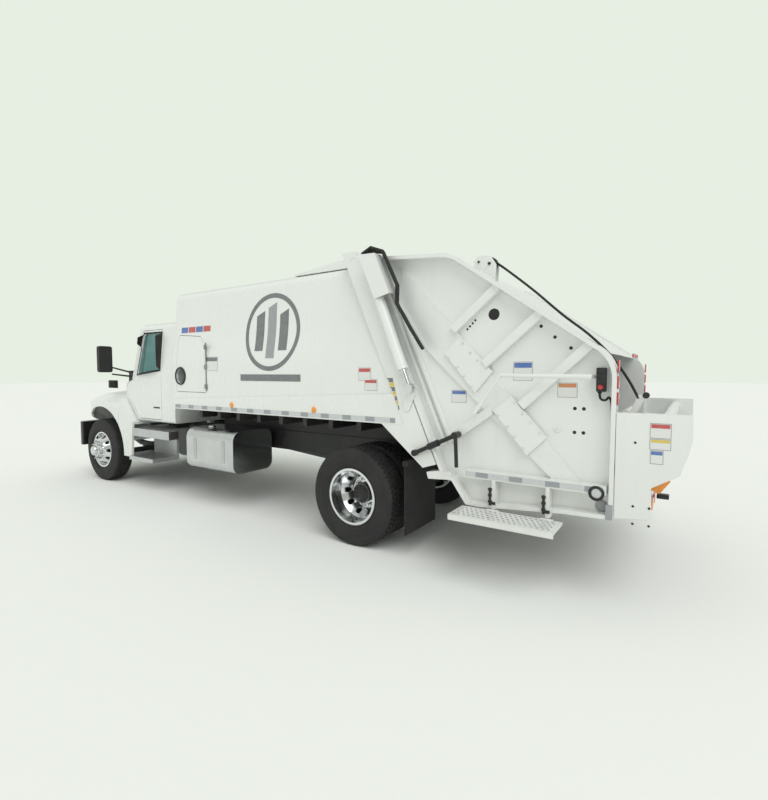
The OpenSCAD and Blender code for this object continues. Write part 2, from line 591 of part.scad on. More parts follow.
module side_boxes() color("#1c1d1f") {
    // Additive tank behind the left steps
    translate([tank_x1 + 120, 0, 0]) front_prism(0, 230) polygon(rounded(
        [[rail_y + seat_gap, 620, 40], [cab_y + 40, 620, 60], [cab_y + 40, 1010, 50], [rail_y + seat_gap, 1010, 40]]));
    translate([tank_x1 + 235, cab_y - 120, 1000]) cylinder(d = 100, h = 44);
    // Battery box on the right
    mirror([0, 1, 0]) box([tank_x1 - 230, rail_y + seat_gap, 560], [tank_x1 + 110, cab_y + 60, 960]);
    // Air tanks between the frame rails' sides
    mirror([0, 1, 0]) for (z = [rail_bottom_z + 20, rail_bottom_z + 170])
        translate([tank_x0 - 60, rail_y + 92, z]) rotate([0, 90, 0]) cylinder(d = 140, h = 760);
    mirror([0, 1, 0]) for (x = [tank_x0 + 40, tank_x0 + 520])
        box([x, rail_y + seat_gap, rail_bottom_z], [x + 40, rail_y + 60, rail_bottom_z + 200]);
}

module exhaust_system() color("#8f8a83") mirror([0, 1, 0]) {
    muffler = [cab_back_x - 30, rail_y + 180, 640];
    translate(muffler) rotate([0, 90, 0]) cylinder(d = 280, h = 700);
    for (dx = [130, 520]) box([muffler.x + dx, rail_y + seat_gap, 700], [muffler.x + dx + 50, rail_y + 140, 780]);
    // Outlet that turns to the side
    translate(muffler - [200, 0, 0]) rotate([0, 90, 0]) cylinder(d = 118, h = 210);
    translate(muffler - [200, 0, 0]) sphere(d = 118);
    translate(muffler - [200, 0, 0]) rotate([-90, 0, 0]) cylinder(d = 118, h = cab_y + 20 - muffler.y);
}

flap_x = x_ra - tyre_r - 150;
module mudflaps() color("#131415") both_sides() {
    box([flap_x, inner_y - 150, 230], [flap_x + 10, outer_y + 130, 930]);
    box([flap_x - 30, rail_y + seat_gap, 905], [flap_x + 30, outer_y + 130, 955]);
}

// ---- Body ----
belt_front_z = body_floor_z + 141;
belt_back_z = body_floor_z + 300;
// Cross section of the load box: straight skirt, barrel side, rounded roof edge
function body_section(g) = let (y = side_y - skirt_step - g, top = body_roof_z - g) [
    [-y, body_floor_z + (g > 0 ? 40 : 0), 0], [y, body_floor_z + (g > 0 ? 40 : 0), 0],
    [y + 10, body_floor_z + 620, 1800], [y - 48, body_roof_z - 720, 2500], [roof_edge_y + 22 - g, body_roof_z - 75 - g, 110],
    [0, top + 10, 6000],
    [-roof_edge_y - 22 + g, body_roof_z - 75 - g, 110], [-y + 48, body_roof_z - 720, 2500],
    [-y - 10, body_floor_z + 620, 1800]];
load_back = [[slant_x(body_floor_z) + seat_gap, body_floor_z - 1, 0], [body_front_x + 1, body_floor_z - 1, 0],
             [body_front_x + 1, body_roof_z + 60, 0], [slant_x(body_roof_z + 60) + seat_gap, body_roof_z + 60, 0]];
access_side = [[body_front_x - 745, body_floor_z + 240, 20], [body_front_x - 85, body_floor_z + 240, 20],
               [body_front_x - 85, body_floor_z + 1020, 20], [body_front_x - 570, body_floor_z + 985, 10],
               [body_front_x - 745, body_floor_z + 800, 10]];
access_gap = 6;
skirt_step = 26;
skirt_side = [[slant_x(body_floor_z) + seat_gap, body_floor_z], [body_front_x - 40, body_floor_z],
              [body_front_x - 40, belt_front_z], [slant_x(belt_back_z) + seat_gap, belt_back_z]];
module body_shell() color("#f4f5f3") difference() {
    union() {
        intersection() {
            front_prism(slant_x(body_floor_z) - 10, body_front_x) polygon(rounded(body_section(0)));
            side_prism(-side_y, side_y) polygon(flat_points(load_back));
        }
        // Side skirts, proud of the barrel sides up to a belt that rises to the rear
        both_sides() side_prism(side_y - skirt_step - 20, side_y) polygon(skirt_side);
    }
    front_prism(slant_x(body_floor_z) - 20, body_front_x - 60) polygon(rounded(body_section(body_wall)));
    side_prism(side_y - body_wall - 110, side_y + 1) polygon(rounded(inset(access_side, -access_gap)));
}
function flat_points(pts) = [for (p = pts) [p.x, p.y]];

module access_door() color("#f4f5f3") difference() {
    intersection() {
        side_prism(0, side_y + 1) polygon(rounded(access_side));
        difference() {
            front_prism(body_front_x - 800, body_front_x) polygon(rounded(body_section(0)));
            front_prism(body_front_x - 800, body_front_x) polygon(rounded(body_section(body_wall)));
        }
    }
    // Round port
    y_cyl(port_x, side_y, port_z, port_d / 2, 200);
}
port_d = 230;
port_x = body_front_x - 185;
port_z = body_floor_z + 455;

module body_subframe() color("#222426") union() {
    sill_top = body_floor_z - seat_gap;
    sill_x0 = slant_x(frame_top_z) + 215;
    both_sides() box([sill_x0, rail_y - 100, frame_top_z + seat_gap], [body_front_x - 120, rail_y - 10, sill_top]);
    for (i = [0:8]) {
        x = sill_x0 + 120 + i * (body_front_x - 260 - sill_x0) / 9;
        box([x, -side_y + pillar_t + 1, sill_top - 110], [x + 60, side_y - pillar_t - 1, sill_top]);
    }
}

// Slanted rear frame that carries the hinge, the lift cylinders' feet and the seal
pillar_foot_z = 960;
ramp_y = 1020;
ramp_z = body_roof_z - 64;
function pillar_back_x(z) = slant_x(z) - pillar_w;
rear_top_z = body_roof_z + 40;
module rear_frame() color("#f4f5f3") difference() {
    union() {
        both_sides() side_prism(side_y - pillar_t, side_y) polygon([
            [slant_x(rear_top_z), rear_top_z], [hinge_x - 40, rear_top_z], [pillar_back_x(hinge_z + 20), hinge_z + 20],
            [pillar_back_x(pillar_foot_z), pillar_foot_z], [slant_x(pillar_foot_z) - 60, pillar_foot_z - 45],
            [slant_x(body_floor_z) + 260, body_floor_z - seat_gap], [slant_x(body_floor_z), body_floor_z - seat_gap]]);
        side_prism(-side_y + pillar_t, side_y - pillar_t) polygon([
            [slant_x(rear_top_z), rear_top_z], [hinge_x + lug_r + 8, rear_top_z],
            [hinge_x + lug_r + 8, rear_top_z - 150], [slant_x(rear_top_z - 150), rear_top_z - 150]]);
        side_prism(-side_y + pillar_t, side_y - pillar_t) polygon([
            [slant_x(body_floor_z + 40), body_floor_z + 40], [pillar_back_x(body_floor_z + 40) + 40, body_floor_z + 40],
            [pillar_back_x(1020) + 40, 1020], [slant_x(1020), 1020]]);
        // Roof ramps in front of the frame's top
        both_sides() side_prism(ramp_y - 60, ramp_y) polygon([[slant_x(ramp_z) - 20, ramp_z],
            [slant_x(ramp_z) + 900, ramp_z], [slant_x(ramp_z) + 900, ramp_z + 14],
            [slant_x(rear_top_z), rear_top_z], [slant_x(rear_top_z) - 20, rear_top_z]]);
        // Lift cylinder feet
        both_sides() hull() {
            y_cyl(lift_foot_x, side_y + 9, lift_foot_z, 48, 8, $fn = 32);
            y_cyl(lift_foot_x + 130, side_y + 9, lift_foot_z + 90, 30, 8, $fn = 32);
            y_cyl(lift_foot_x + 60, side_y + 9, lift_foot_z - 190, 30, 8, $fn = 32);
        }
        both_sides() for (p = [[130, 90], [60, -190]])
            y_cyl(lift_foot_x + p.x, side_y + 3, lift_foot_z + p.y, 26, 8);
        both_sides() y_cyl(lift_foot_x, (side_y + 5 + lift_y - eye_w / 2) / 2, lift_foot_z, pin_d / 2,
            lift_y - eye_w / 2 - 7 - side_y);
    }
    // Hinge pin bores
    both_sides() y_cyl(hinge_x, side_y - 55, hinge_z, hinge_pin_d / 2 + 0.05, 130);
}
hinge_pin_d = 70;
lug_r = 58;
eye_w = 60;

ejector_x = body_front_x - 760;
ejector_t = 90;
ejector_travel = ejector_x - ejector_t - slant_x(body_roof_z - 105) - 30;
module ejector_panel() color("#8b8f91") union() {
    section = body_section(body_wall + 22);
    difference() {
        front_prism(ejector_x - ejector_t, ejector_x) intersection() {
            polygon(rounded(section));
            translate([-3000, body_floor_z + 56]) square([6000, body_roof_z - body_floor_z - 160]);
        }
    }
    both_sides() side_prism(600, 660) polygon([[ejector_x - 1, body_floor_z + 56], [ejector_x + 420, body_floor_z + 56],
        [ejector_x + 420, body_floor_z + 120], [ejector_x - 1, body_roof_z - 400]]);
}

// ---- Tailgate ----
module rod_between(p, q, d) {
    v = q - p;
    translate(p) rotate([0, acos(v.z / norm(v)), atan2(v.y, v.x)]) cylinder(d = d, h = norm(v));
}
module bent_rod(pts, d) {
    sides = 12;
    rings = [for (i = [0:len(pts) - 1]) let (
        fwd = unit((i < len(pts) - 1 ? pts[i + 1] : pts[i]) - (i > 0 ? pts[i - 1] : pts[i])),
        half = i > 0 && i < len(pts) - 1 ? acos(unit(pts[i + 1] - pts[i]) * unit(pts[i] - pts[i - 1])) / 2 : 0,
        side = unit(cross(fwd, abs(fwd.y) > 0.9 ? [0, 0, 1] : [0, 1, 0])),
        up = cross(side, fwd)) each [for (k = [0:sides - 1]) pts[i] + (d / 2) * (side * cos(k * 360 / sides) / cos(half)
            + up * sin(k * 360 / sides))]];
    n = len(pts);
    polyhedron(rings, concat([[for (k = [0:sides - 1]) k]], [for (i = [0:n - 2], k = [0:sides - 1])
        [i * sides + k, (i + 1) * sides + k, (i + 1) * sides + (k + 1) % sides, i * sides + (k + 1) % sides]],
        [[for (k = [sides - 1:-1:0]) (n - 1) * sides + k]]));
}

gate_gap = 14;
gate_back_x = x_back + 480;
gate_knee_x = gate_back_x + 1370;
gate_low_z = 700;
function gate_front_x(z) = pillar_back_x(z) - gate_gap;
gate_side = [[gate_front_x(hinge_z + 15), hinge_z + 15, 20], [gate_knee_x + 650, hinge_z - 5, 0],
             [gate_knee_x, hinge_z - 62, 380], [gate_back_x, hinge_z - 1010, 300], [gate_back_x + 8, gate_low_z, 15],
             [gate_back_x + 370, gate_low_z - 10, 40], [gate_back_x + 1080, gate_low_z - 68, 30],
             [gate_back_x + 1205, gate_low_z - 66, 20], [gate_back_x + 1347, gate_low_z + 133, 20],
             [gate_front_x(833), gate_low_z + 133, 20]];
gate_hook = [[gate_back_x + 1347, gate_low_z + 134, 0], [gate_back_x + 1589, gate_low_z + 117, 10],
             [gate_back_x + 1609, gate_low_z + 180, 10], [gate_front_x(905) + 4, gate_low_z + 205, 0],
             [gate_back_x + 1347, gate_low_z + 205, 0]];
rail_z = gate_low_z + 212;
rib_w = 76;
rib_h = 62;
rib_at = [gate_back_x + 1360, hinge_z - 740];
module rib(from, to) {
    v = to - from;
    translate([from.x, gate_y - 1, from.y]) rotate([0, -atan2(v.y, v.x), 0])
        translate([0, 0, -rib_w / 2]) cube([norm(v), rib_h + 1, rib_w]);
}
module gate_plate(pts, from, h) side_prism(gate_y + from, gate_y + h) polygon(pts);
cover_t = 22;
module tailgate_side() {
    side_prism(gate_y - plate_t, gate_y) polygon(rounded(gate_side));
    side_prism(gate_y - 1, side_y) difference() {
        polygon(rounded(gate_side));
        polygon(rounded(inset(gate_side, flange_t)));
    }
    // Hook under the pillar's foot
    side_prism(gate_y - plate_t, side_y - 8) polygon(rounded(gate_hook));
    // Stiffening ribs that run up to the sloping flange
    rib(rib_at, rib_at + [-416, 350]);
    rib(rib_at + [-300, -310], rib_at + [-790, 110]);
    rib(rib_at + [-630, -660], rib_at + [-1160, -165]);
    rib(rib_at + [-366, -710], rib_at + [20, -985]);
    // Diagonal track band with its two bolted covers
    gate_plate([[gate_back_x + 1900, hinge_z - 130], [gate_back_x + 1960, hinge_z - 440], [gate_back_x + 1622, hinge_z - 930],
                [gate_back_x + 464, rail_z + 20], [gate_back_x + 243, rail_z + 20], [gate_back_x + 1327, hinge_z - 760]], -1, 26);
    gate_plate([[gate_back_x + 1298, hinge_z - 807], [gate_back_x + 982, hinge_z - 1116],
                [gate_back_x + 1141, hinge_z - 1299], [gate_back_x + 1445, hinge_z - 945]], 25, 52);
    gate_plate([[gate_back_x + 818, hinge_z - 1316], [gate_back_x + 516, hinge_z - 1653],
                [gate_back_x + 675, hinge_z - 1811], [gate_back_x + 978, hinge_z - 1445]], 25, 52);
    // Front posts beside the pillar
    for (dx = [120, 190]) gate_plate([[gate_front_x(2700) - dx, 2700], [gate_front_x(2700) - dx - 26, 2700],
        [gate_front_x(1150) - dx - 26, 1150], [gate_front_x(1150) - dx, 1150]], -1, 40);
    // Lower rail and the step's hangers
    box([gate_back_x + 56, gate_y - 1, rail_z - 32], [gate_back_x + 1225, side_y, rail_z + 36]);
    for (x = step_hanger_x) box([x - 16, gate_y - 1, step_z + 26], [x + 16, side_y + 6, rail_z - 20]);
    // Hinge lug and pin
    side_prism(gate_y - plate_t - 42, gate_y - plate_t + 1) polygon(concat(
        arc(hinge_x, hinge_z, lug_r, -60, 120), [[gate_front_x(2900) - 70, hinge_z - 10], [gate_front_x(2700) - 90, 2700]]));
    y_cyl(hinge_x, (gate_y - plate_t - 40 + side_y - 2) / 2, hinge_z, hinge_pin_d / 2, side_y - 2 - gate_y + plate_t + 40);
    // Lift cylinder pin and the cover over the barrel's top
    y_cyl(lift_pin_x, (gate_y + cover_y + 3) / 2, lift_pin_z, pin_d / 2, cover_y + 3 - gate_y);
    y_cyl(lift_pin_x, (gate_y + lift_y - barrel_d / 2 - 3) / 2, lift_pin_z, pin_d, lift_y - barrel_d / 2 - 3 - gate_y);
    side_prism(cover_y, cover_y + 7) polygon([[lift_pin_x + 73, hinge_z + 18], [lift_pin_x - 130, hinge_z + 10],
        [lift_pin_x - 300, hinge_z - 380], [lift_pin_x - 128, hinge_z - 422]]);
    side_prism(side_y - 10, cover_y + 1) polygon([[lift_pin_x - 120, hinge_z + 10], [lift_pin_x - 130, hinge_z + 10],
        [lift_pin_x - 300, hinge_z - 380], [lift_pin_x - 290, hinge_z - 380]]);
    // Control box seat plate
    box([gate_back_x + 70, gate_y - 1, hinge_z - 1275], [gate_back_x + 150, gate_y + 20, hinge_z - 1080]);
}
cover_y = lift_y + barrel_d / 2 + 6;
module tailgate_sides() color("#f5f6f4") both_sides() difference() {
    tailgate_side();
    y_cyl(gate_back_x + 992, gate_y, hinge_z - 619, 30, 200);
}

// Sheet over the top and the slope, between the side plates
inner_gate_y = gate_y - plate_t - seat_gap;
module tailgate_cover() color("#f3f4f2") side_prism(-inner_gate_y, inner_gate_y) difference() {
    polygon(rounded(inset(gate_side, 20)));
    polygon(rounded(inset(gate_side, 20 + cover_t)));
    polygon([[x_back - 10, 0], [x_back - 10, hinge_z - 960], [gate_back_x + 250, hinge_z - 960],
             [gate_knee_x + 200, hinge_z - 560], [gate_front_x(2905) - 120, 2905 - 120], [gate_front_x(2905) - 120, 3200],
             [x_ra, 3200], [x_ra, 0]]);
}

tub_r = 900;
tub_c = [gate_back_x + 760, gate_low_z + 862];
tub_t = 20;
module hopper_tub() color("#e9eae8") side_prism(-inner_gate_y, inner_gate_y) polygon(concat(
    [[gate_front_x(1330) - 26, 1330]],
    arc(tub_c.x, tub_c.y, tub_r, -40, -147, 24),
    [[gate_back_x + 1, tub_c.y - 445], [gate_back_x + 24, tub_c.y - 445]],
    arc(tub_c.x, tub_c.y, tub_r - tub_t, -147, -41, 24),
    [[gate_front_x(1330) - 50, 1330]]));

wing_y = side_y - 60;
wing_top_z = gate_low_z + 814;
sill_z = tub_c.y - 470;
module hopper_wings() color("#f5f6f4") union() {
    wing = [[x_back, wing_top_z, 10], [gate_back_x - seat_gap, wing_top_z, 0], [gate_back_x - seat_gap, gate_low_z + 20, 0],
            [x_back + 240, gate_low_z + 48, 10], [x_back + 242, gate_low_z + 278, 10], [x_back + 70, gate_low_z + 385, 40],
            [x_back + 19, gate_low_z + 546, 30], [x_back, gate_low_z + 640, 30]];
    both_sides() side_prism(wing_y, side_y) polygon(rounded(wing));
    // Loading sill, its apron and the roll bar
    side_prism(-wing_y - 1, wing_y + 1) polygon([[gate_back_x - seat_gap, sill_z], [x_back + 130, sill_z],
        [x_back + 130, sill_z - 40], [gate_back_x - 60, sill_z - 60], [x_back + 250, gate_low_z + 90],
        [x_back + 290, gate_low_z + 90], [gate_back_x - seat_gap, sill_z - 60]]);
    y_cyl(x_back + 170, 0, wing_top_z - 70, 45, 2 * wing_y + 2);
    both_sides() for (y = [300, 760]) side_prism(y, y + 40) polygon([[x_back + 130, sill_z - 5], [x_back + 300, sill_z - 5],
        [x_back + 215, wing_top_z - 60], [x_back + 125, wing_top_z - 60]]);
}

module grab_rails() color("#f5f6f4") both_sides() {
    y = side_y + 45;
    path = [[gate_back_x + 1110, gate_y, hinge_z - 1468], [gate_back_x + 1110, y, hinge_z - 1468],
            [gate_back_x + 876, y, hinge_z - 1145], [gate_back_x + 168, y, hinge_z - 1153],
            [gate_back_x + 168, gate_y, hinge_z - 1153]];
    bent_rod(path, 28);
}

module tailgate_clamps() color("#141416") both_sides() {
    y = side_y + 36;
    a = [gate_back_x + 1707, y, gate_low_z + 356];
    b = [gate_back_x + 1291, y, gate_low_z + 552];
    rod_between(a, b, 40);
    rod_between(a + (b - a) * 0.35, a + (b - a) * 0.6, 62);
    translate(a + [0, -22, 0]) rotate([-90, 0, 0]) cylinder(d = 60, h = 44);
    translate([b.x, gate_y + rib_h + seat_gap, b.z]) rotate([-90, 0, 0]) cylinder(d = 60, h = y - gate_y - rib_h + 30);
    rod_between(b + [-10, 20, 0], b + [-22, 20, -281], 34);
}

hose_d = 30;
module hinge_hoses() color("#111112") both_sides() for (i = [0:2]) {
    y = side_y + 18 + 32 * i;
    k = 14 * i;
    bent_rod([[hinge_x - 120 - k, y - 40, hinge_z + 46], [hinge_x - 260, y - 30, hinge_z + 62 + k], [hinge_x - 390 - k, y, hinge_z + 30],
              [lift_pin_x - 322 - k, y, hinge_z - 300], [lift_pin_x - 318 - k, y, hinge_z - 470],
              [lift_pin_x - 460 - k, y, hinge_z - 700], [lift_pin_x - 600 - k, y, hinge_z - 905]], hose_d);
}

// Carrier that slides down the diagonal track, and the blade hinged to its foot
track = unit([-0.7, -0.714]);
track_n = [track.y, -track.x];
carrier_top = [gate_back_x + 1740, hinge_z - 430];
carrier_len = 690;
carrier_t = 130;
blade_pin = carrier_top + track * (carrier_len + 75);
slide_travel = 520;
pack_y = inner_gate_y - 12;
blade_len = 720;
blade_pin_d = 80;
module slide_panel() color("#8f9395") union() {
    a = carrier_top;
    b = carrier_top + track * carrier_len;
    side_prism(-pack_y + 60, pack_y - 60) polygon([flat(a), flat(a) + track_n * carrier_t, flat(b) + track_n * carrier_t, flat(b)]);
    both_sides() for (y = [180, 560, pack_y - 90]) side_prism(y, y + 30) difference() {
        polygon(concat([flat(b) - track * 60, flat(b) - track * 60 + track_n * carrier_t],
            arc(blade_pin.x, blade_pin.y, 70, atan2(track_n.y, track_n.x), atan2(track_n.y, track_n.x) + 180)));
        translate(flat(blade_pin)) circle(d = blade_pin_d + 0.1);
    }
}
blade_dir = unit([0.24, -0.97]);
blade_n = [blade_dir.y, -blade_dir.x];
module packer_blade() color("#8f9395") union() {
    p = flat(blade_pin);
    y_cyl(p.x, 0, p.y, blade_pin_d / 2, 2 * (pack_y - 50));
    side_prism(-pack_y + 20, pack_y - 20) polygon([p + blade_dir * 110 - blade_n * 60, p + blade_dir * 110 + blade_n * 60,
        p + blade_dir * (blade_len - 120) + blade_n * 70, p + blade_dir * blade_len + blade_n * 30,
        p + blade_dir * blade_len - blade_n * 10, p + blade_dir * (blade_len - 120) - blade_n * 50]);
    both_sides() for (y = [215, 520, pack_y - 140]) side_prism(y, y + 30)
        polygon(concat([p + blade_dir * 130 + blade_n * 50, p + blade_dir * 130 - blade_n * 50],
            arc(p.x, p.y, 66, atan2(blade_dir.y, blade_dir.x) + 90, atan2(blade_dir.y, blade_dir.x) + 270)));
}

// Lift cylinders: the barrel hangs from the tailgate's pin, the rod's eye sits by the pillar's foot
lift_from = [lift_pin_x, lift_pin_z];
lift_to = [lift_foot_x, lift_foot_z];
lift_dir = unit(lift_to - lift_from);
lift_span = norm(lift_to - lift_from);
barrel_len = lift_span - 190;
module lift_frame(y_side) mirror([0, y_side < 0 ? 1 : 0, 0])
    translate([lift_pin_x, lift_y, lift_pin_z]) rotate([0, 180 + atan2(-lift_dir.x, -lift_dir.y), 0]) children();
module lift_barrel(y_side) color("#f1f2f0") lift_frame(y_side) difference() {
    union() {
        rotate([-90, 0, 0]) translate([0, 0, -eye_w / 2]) cylinder(r = 44, h = eye_w);
        translate([0, 0, 30]) cylinder(d = barrel_d - 16, h = 60);
        translate([0, 0, 80]) cylinder(d = barrel_d, h = barrel_len - 80);
    }
    rotate([-90, 0, 0]) translate([0, 0, -eye_w]) cylinder(d = pin_d + 0.1, h = 2 * eye_w);
    translate([0, 0, 110]) cylinder(d = rod_d + 0.1, h = barrel_len);
}
module lift_rod(y_side) color("#3a3c3f") lift_frame(y_side) union() {
    translate([0, 0, barrel_len - rod_in]) cylinder(d = rod_d, h = lift_span - barrel_len + rod_in - 30);
    translate([0, 0, lift_span]) rotate([-90, 0, 0]) translate([0, 0, -eye_w / 2]) cylinder(r = 44, h = eye_w);
}
rod_in = 820;

// Folding side steps
step_z = 610;
step_hx = gate_back_x + 362;
step_len = 860;
step_w = 300;
step_hanger_x = [gate_back_x + 488, gate_back_x + 943];
step_pivot = [side_y + 21 + seat_gap, step_z + 12];
module side_step(y_side) color("#f5f6f4") mirror([0, y_side < 0 ? 1 : 0, 0]) union() {
    box([step_hx, step_pivot.x + 8, step_z], [step_hx + step_len, step_pivot.x + step_w, step_z + 22]);
    box([step_hx, step_pivot.x + step_w - 12, step_z - 26], [step_hx + step_len, step_pivot.x + step_w, step_z + 22]);
    for (x = step_hanger_x) translate([x - 50, step_pivot.x, step_pivot.y]) rotate([0, 90, 0]) cylinder(d = 30, h = 100);
    for (x = step_hanger_x) box([x - 50, step_pivot.x, step_z], [x + 50, step_pivot.x + 30, step_z + 22]);
}

// ---- Drawn nodes ----
module left_knuckle() knuckle(1);
module right_knuckle() knuckle(-1);
module left_front_rim() color("#dcdddd") front_rim(1);
module right_front_rim() color("#dcdddd") front_rim(-1);
module left_front_tyre() color("#1a1a1b") tyre(x_fa, front_y);
module right_front_tyre() color("#1a1a1b") tyre(x_fa, -front_y);
module left_rear_rims() rear_rims(1);
module right_rear_rims() rear_rims(-1);
module left_rear_tyres() rear_tyres(1);
module right_rear_tyres() rear_tyres(-1);
module left_lift_barrel() lift_barrel(1);
module right_lift_barrel() lift_barrel(-1);
module left_lift_rod() lift_rod(1);
module right_lift_rod() lift_rod(-1);
module left_side_step() side_step(1);
module right_side_step() side_step(-1);

frame_rails();
front_bumper();
powertrain();
front_axle();
rear_axle();
leaf_springs();
fender_extensions();
cab_shell();
cab_glass();
seats();
dashboard();
steering_wheel();
mirrors();
cab_steps();
fuel_tank();
side_boxes();
exhaust_system();
mudflaps();
hood();
grille();
left_door();
left_door_glass();
right_door();
right_door_glass();
left_knuckle();
right_knuckle();
tie_rod();
left_front_rim();
left_front_tyre();
right_front_rim();
right_front_tyre();
left_rear_rims();
left_rear_tyres();
right_rear_rims();
right_rear_tyres();
body_shell();
body_subframe();
rear_frame();
access_door();
ejector_panel();
tailgate_sides();
tailgate_cover();
hopper_tub();
hopper_wings();
grab_rails();
tailgate_clamps();
hinge_hoses();
slide_panel();
packer_blade();
left_lift_barrel();
left_lift_rod();
right_lift_barrel();
right_lift_rod();
left_side_step();
right_side_step();
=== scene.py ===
import math

import bmesh
import bpy
from mathutils import Matrix, Vector
from mathutils.bvhtree import BVHTree


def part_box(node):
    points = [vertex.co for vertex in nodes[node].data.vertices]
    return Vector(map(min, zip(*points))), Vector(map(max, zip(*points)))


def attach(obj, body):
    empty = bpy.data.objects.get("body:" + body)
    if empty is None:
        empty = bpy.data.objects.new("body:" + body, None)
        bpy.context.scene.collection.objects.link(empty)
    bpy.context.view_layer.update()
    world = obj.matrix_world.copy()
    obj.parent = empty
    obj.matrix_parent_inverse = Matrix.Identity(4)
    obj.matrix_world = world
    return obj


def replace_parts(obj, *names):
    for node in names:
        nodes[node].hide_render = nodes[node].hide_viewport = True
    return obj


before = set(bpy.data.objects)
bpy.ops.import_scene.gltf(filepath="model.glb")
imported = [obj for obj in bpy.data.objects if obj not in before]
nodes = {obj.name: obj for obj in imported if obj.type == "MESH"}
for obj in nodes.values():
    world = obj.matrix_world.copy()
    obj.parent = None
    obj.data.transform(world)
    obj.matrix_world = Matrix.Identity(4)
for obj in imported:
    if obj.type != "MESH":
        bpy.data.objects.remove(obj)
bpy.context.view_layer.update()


# ---- Materials ----
class Shader:
    """A principled material and short names for the nodes that give it its detail."""

    def __init__(self, name, base, rough=0.5, metallic=0.0, coat=0.0, coat_rough=0.1, specular=0.5):
        self.mat = bpy.data.materials.new(name)
        self.mat.use_nodes = True
        self.tree = self.mat.node_tree
        self.bsdf = self.tree.nodes["Principled BSDF"]
        self.set("Base Color", (*base, 1))
        self.set("Roughness", rough)
        self.set("Metallic", metallic)
        self.set("Coat Weight", coat)
        self.set("Coat Roughness", coat_rough)
        self.set("Specular IOR Level", specular)
        self.bump_out = None

    def set(self, socket, value):
        self.bsdf.inputs[socket].default_value = value

    def node(self, kind, **inputs):
        n = self.tree.nodes.new(kind)
        for key, value in inputs.items():
            n.inputs[key.replace("_", " ")].default_value = value
        return n

    def link(self, a, b):
        self.tree.links.new(a, b)

    def coords(self, stretch=(1, 1, 1)):
        """Object coordinates in metres, stretched."""
        place = self.node("ShaderNodeTexCoord")
        m = self.node("ShaderNodeMapping")
        m.inputs["Scale"].default_value = stretch
        self.link(place.outputs["Object"], m.inputs["Vector"])
        return m.outputs["Vector"]

    def noise(self, scale, detail=4.0, rough=0.55, stretch=(1, 1, 1)):
        n = self.node("ShaderNodeTexNoise", Scale=scale, Detail=detail, Roughness=rough)
        self.link(self.coords(stretch), n.inputs["Vector"])
        return n.outputs["Fac"]

    def ramp(self, value, stops, interpolation="LINEAR"):
        r = self.node("ShaderNodeValToRGB")
        r.color_ramp.interpolation = interpolation
        el = r.color_ramp.elements
        while len(el) < len(stops):
            el.new(0.5)
        for e, (at, colour) in zip(el, stops):
            e.position = at
            e.color = (*colour, 1) if len(colour) == 3 else colour
        self.link(value, r.inputs["Fac"])
        return r.outputs["Color"]

    def math(self, op, a, b=None):
        m = self.tree.nodes.new("ShaderNodeMath")
        m.operation = op
        for i, v in enumerate((a, b)):
            if v is None:
                continue
            if isinstance(v, (int, float)):
                m.inputs[i].default_value = v
            else:
                self.link(v, m.inputs[i])
        return m.outputs[0]

    def mix(self, fac, a, b, kind="MIX"):
        m = self.tree.nodes.new("ShaderNodeMix")
        m.data_type = "RGBA"
        m.blend_type = kind
        for socket, v in ((0, fac), (6, a), (7, b)):
            if isinstance(v, (int, float)):
                m.inputs[socket].default_value = v
            elif isinstance(v, tuple):
                m.inputs[socket].default_value = (*v, 1)
            else:
                self.link(v, m.inputs[socket])
        return m.outputs[2]

    def color(self, value):
        self.link(value, self.bsdf.inputs["Base Color"])

    def rough(self, value, low, high):
        r = self.node("ShaderNodeMapRange")
        r.inputs["To Min"].default_value = low
        r.inputs["To Max"].default_value = high
        self.link(value, r.inputs["Value"])
        self.link(r.outputs["Result"], self.bsdf.inputs["Roughness"])

    def bump(self, value, strength, distance):
        b = self.node("ShaderNodeBump")
        b.inputs["Strength"].default_value = strength
        b.inputs["Distance"].default_value = distance
        self.link(value, b.inputs["Height"])
        if self.bump_out:
            self.link(self.bump_out, b.inputs["Normal"])
        self.bump_out = b.outputs["Normal"]
        self.link(self.bump_out, self.bsdf.inputs["Normal"])

    def edges(self, radius=0.006, samples=4):
        """Rounded edges: light catches them as on a real bent sheet."""
        b = self.tree.nodes.new("ShaderNodeBevel")
        b.samples = samples
        b.inputs["Radius"].default_value = radius
        self.bump_out = b.outputs["Normal"]
        self.link(self.bump_out, self.bsdf.inputs["Normal"])

    def height(self):
        """Height above the ground in metres."""
        place = self.node("ShaderNodeTexCoord")
        part = self.node("ShaderNodeSeparateXYZ")
        self.link(place.outputs["Object"], part.inputs[0])
        return part.outputs["Z"]


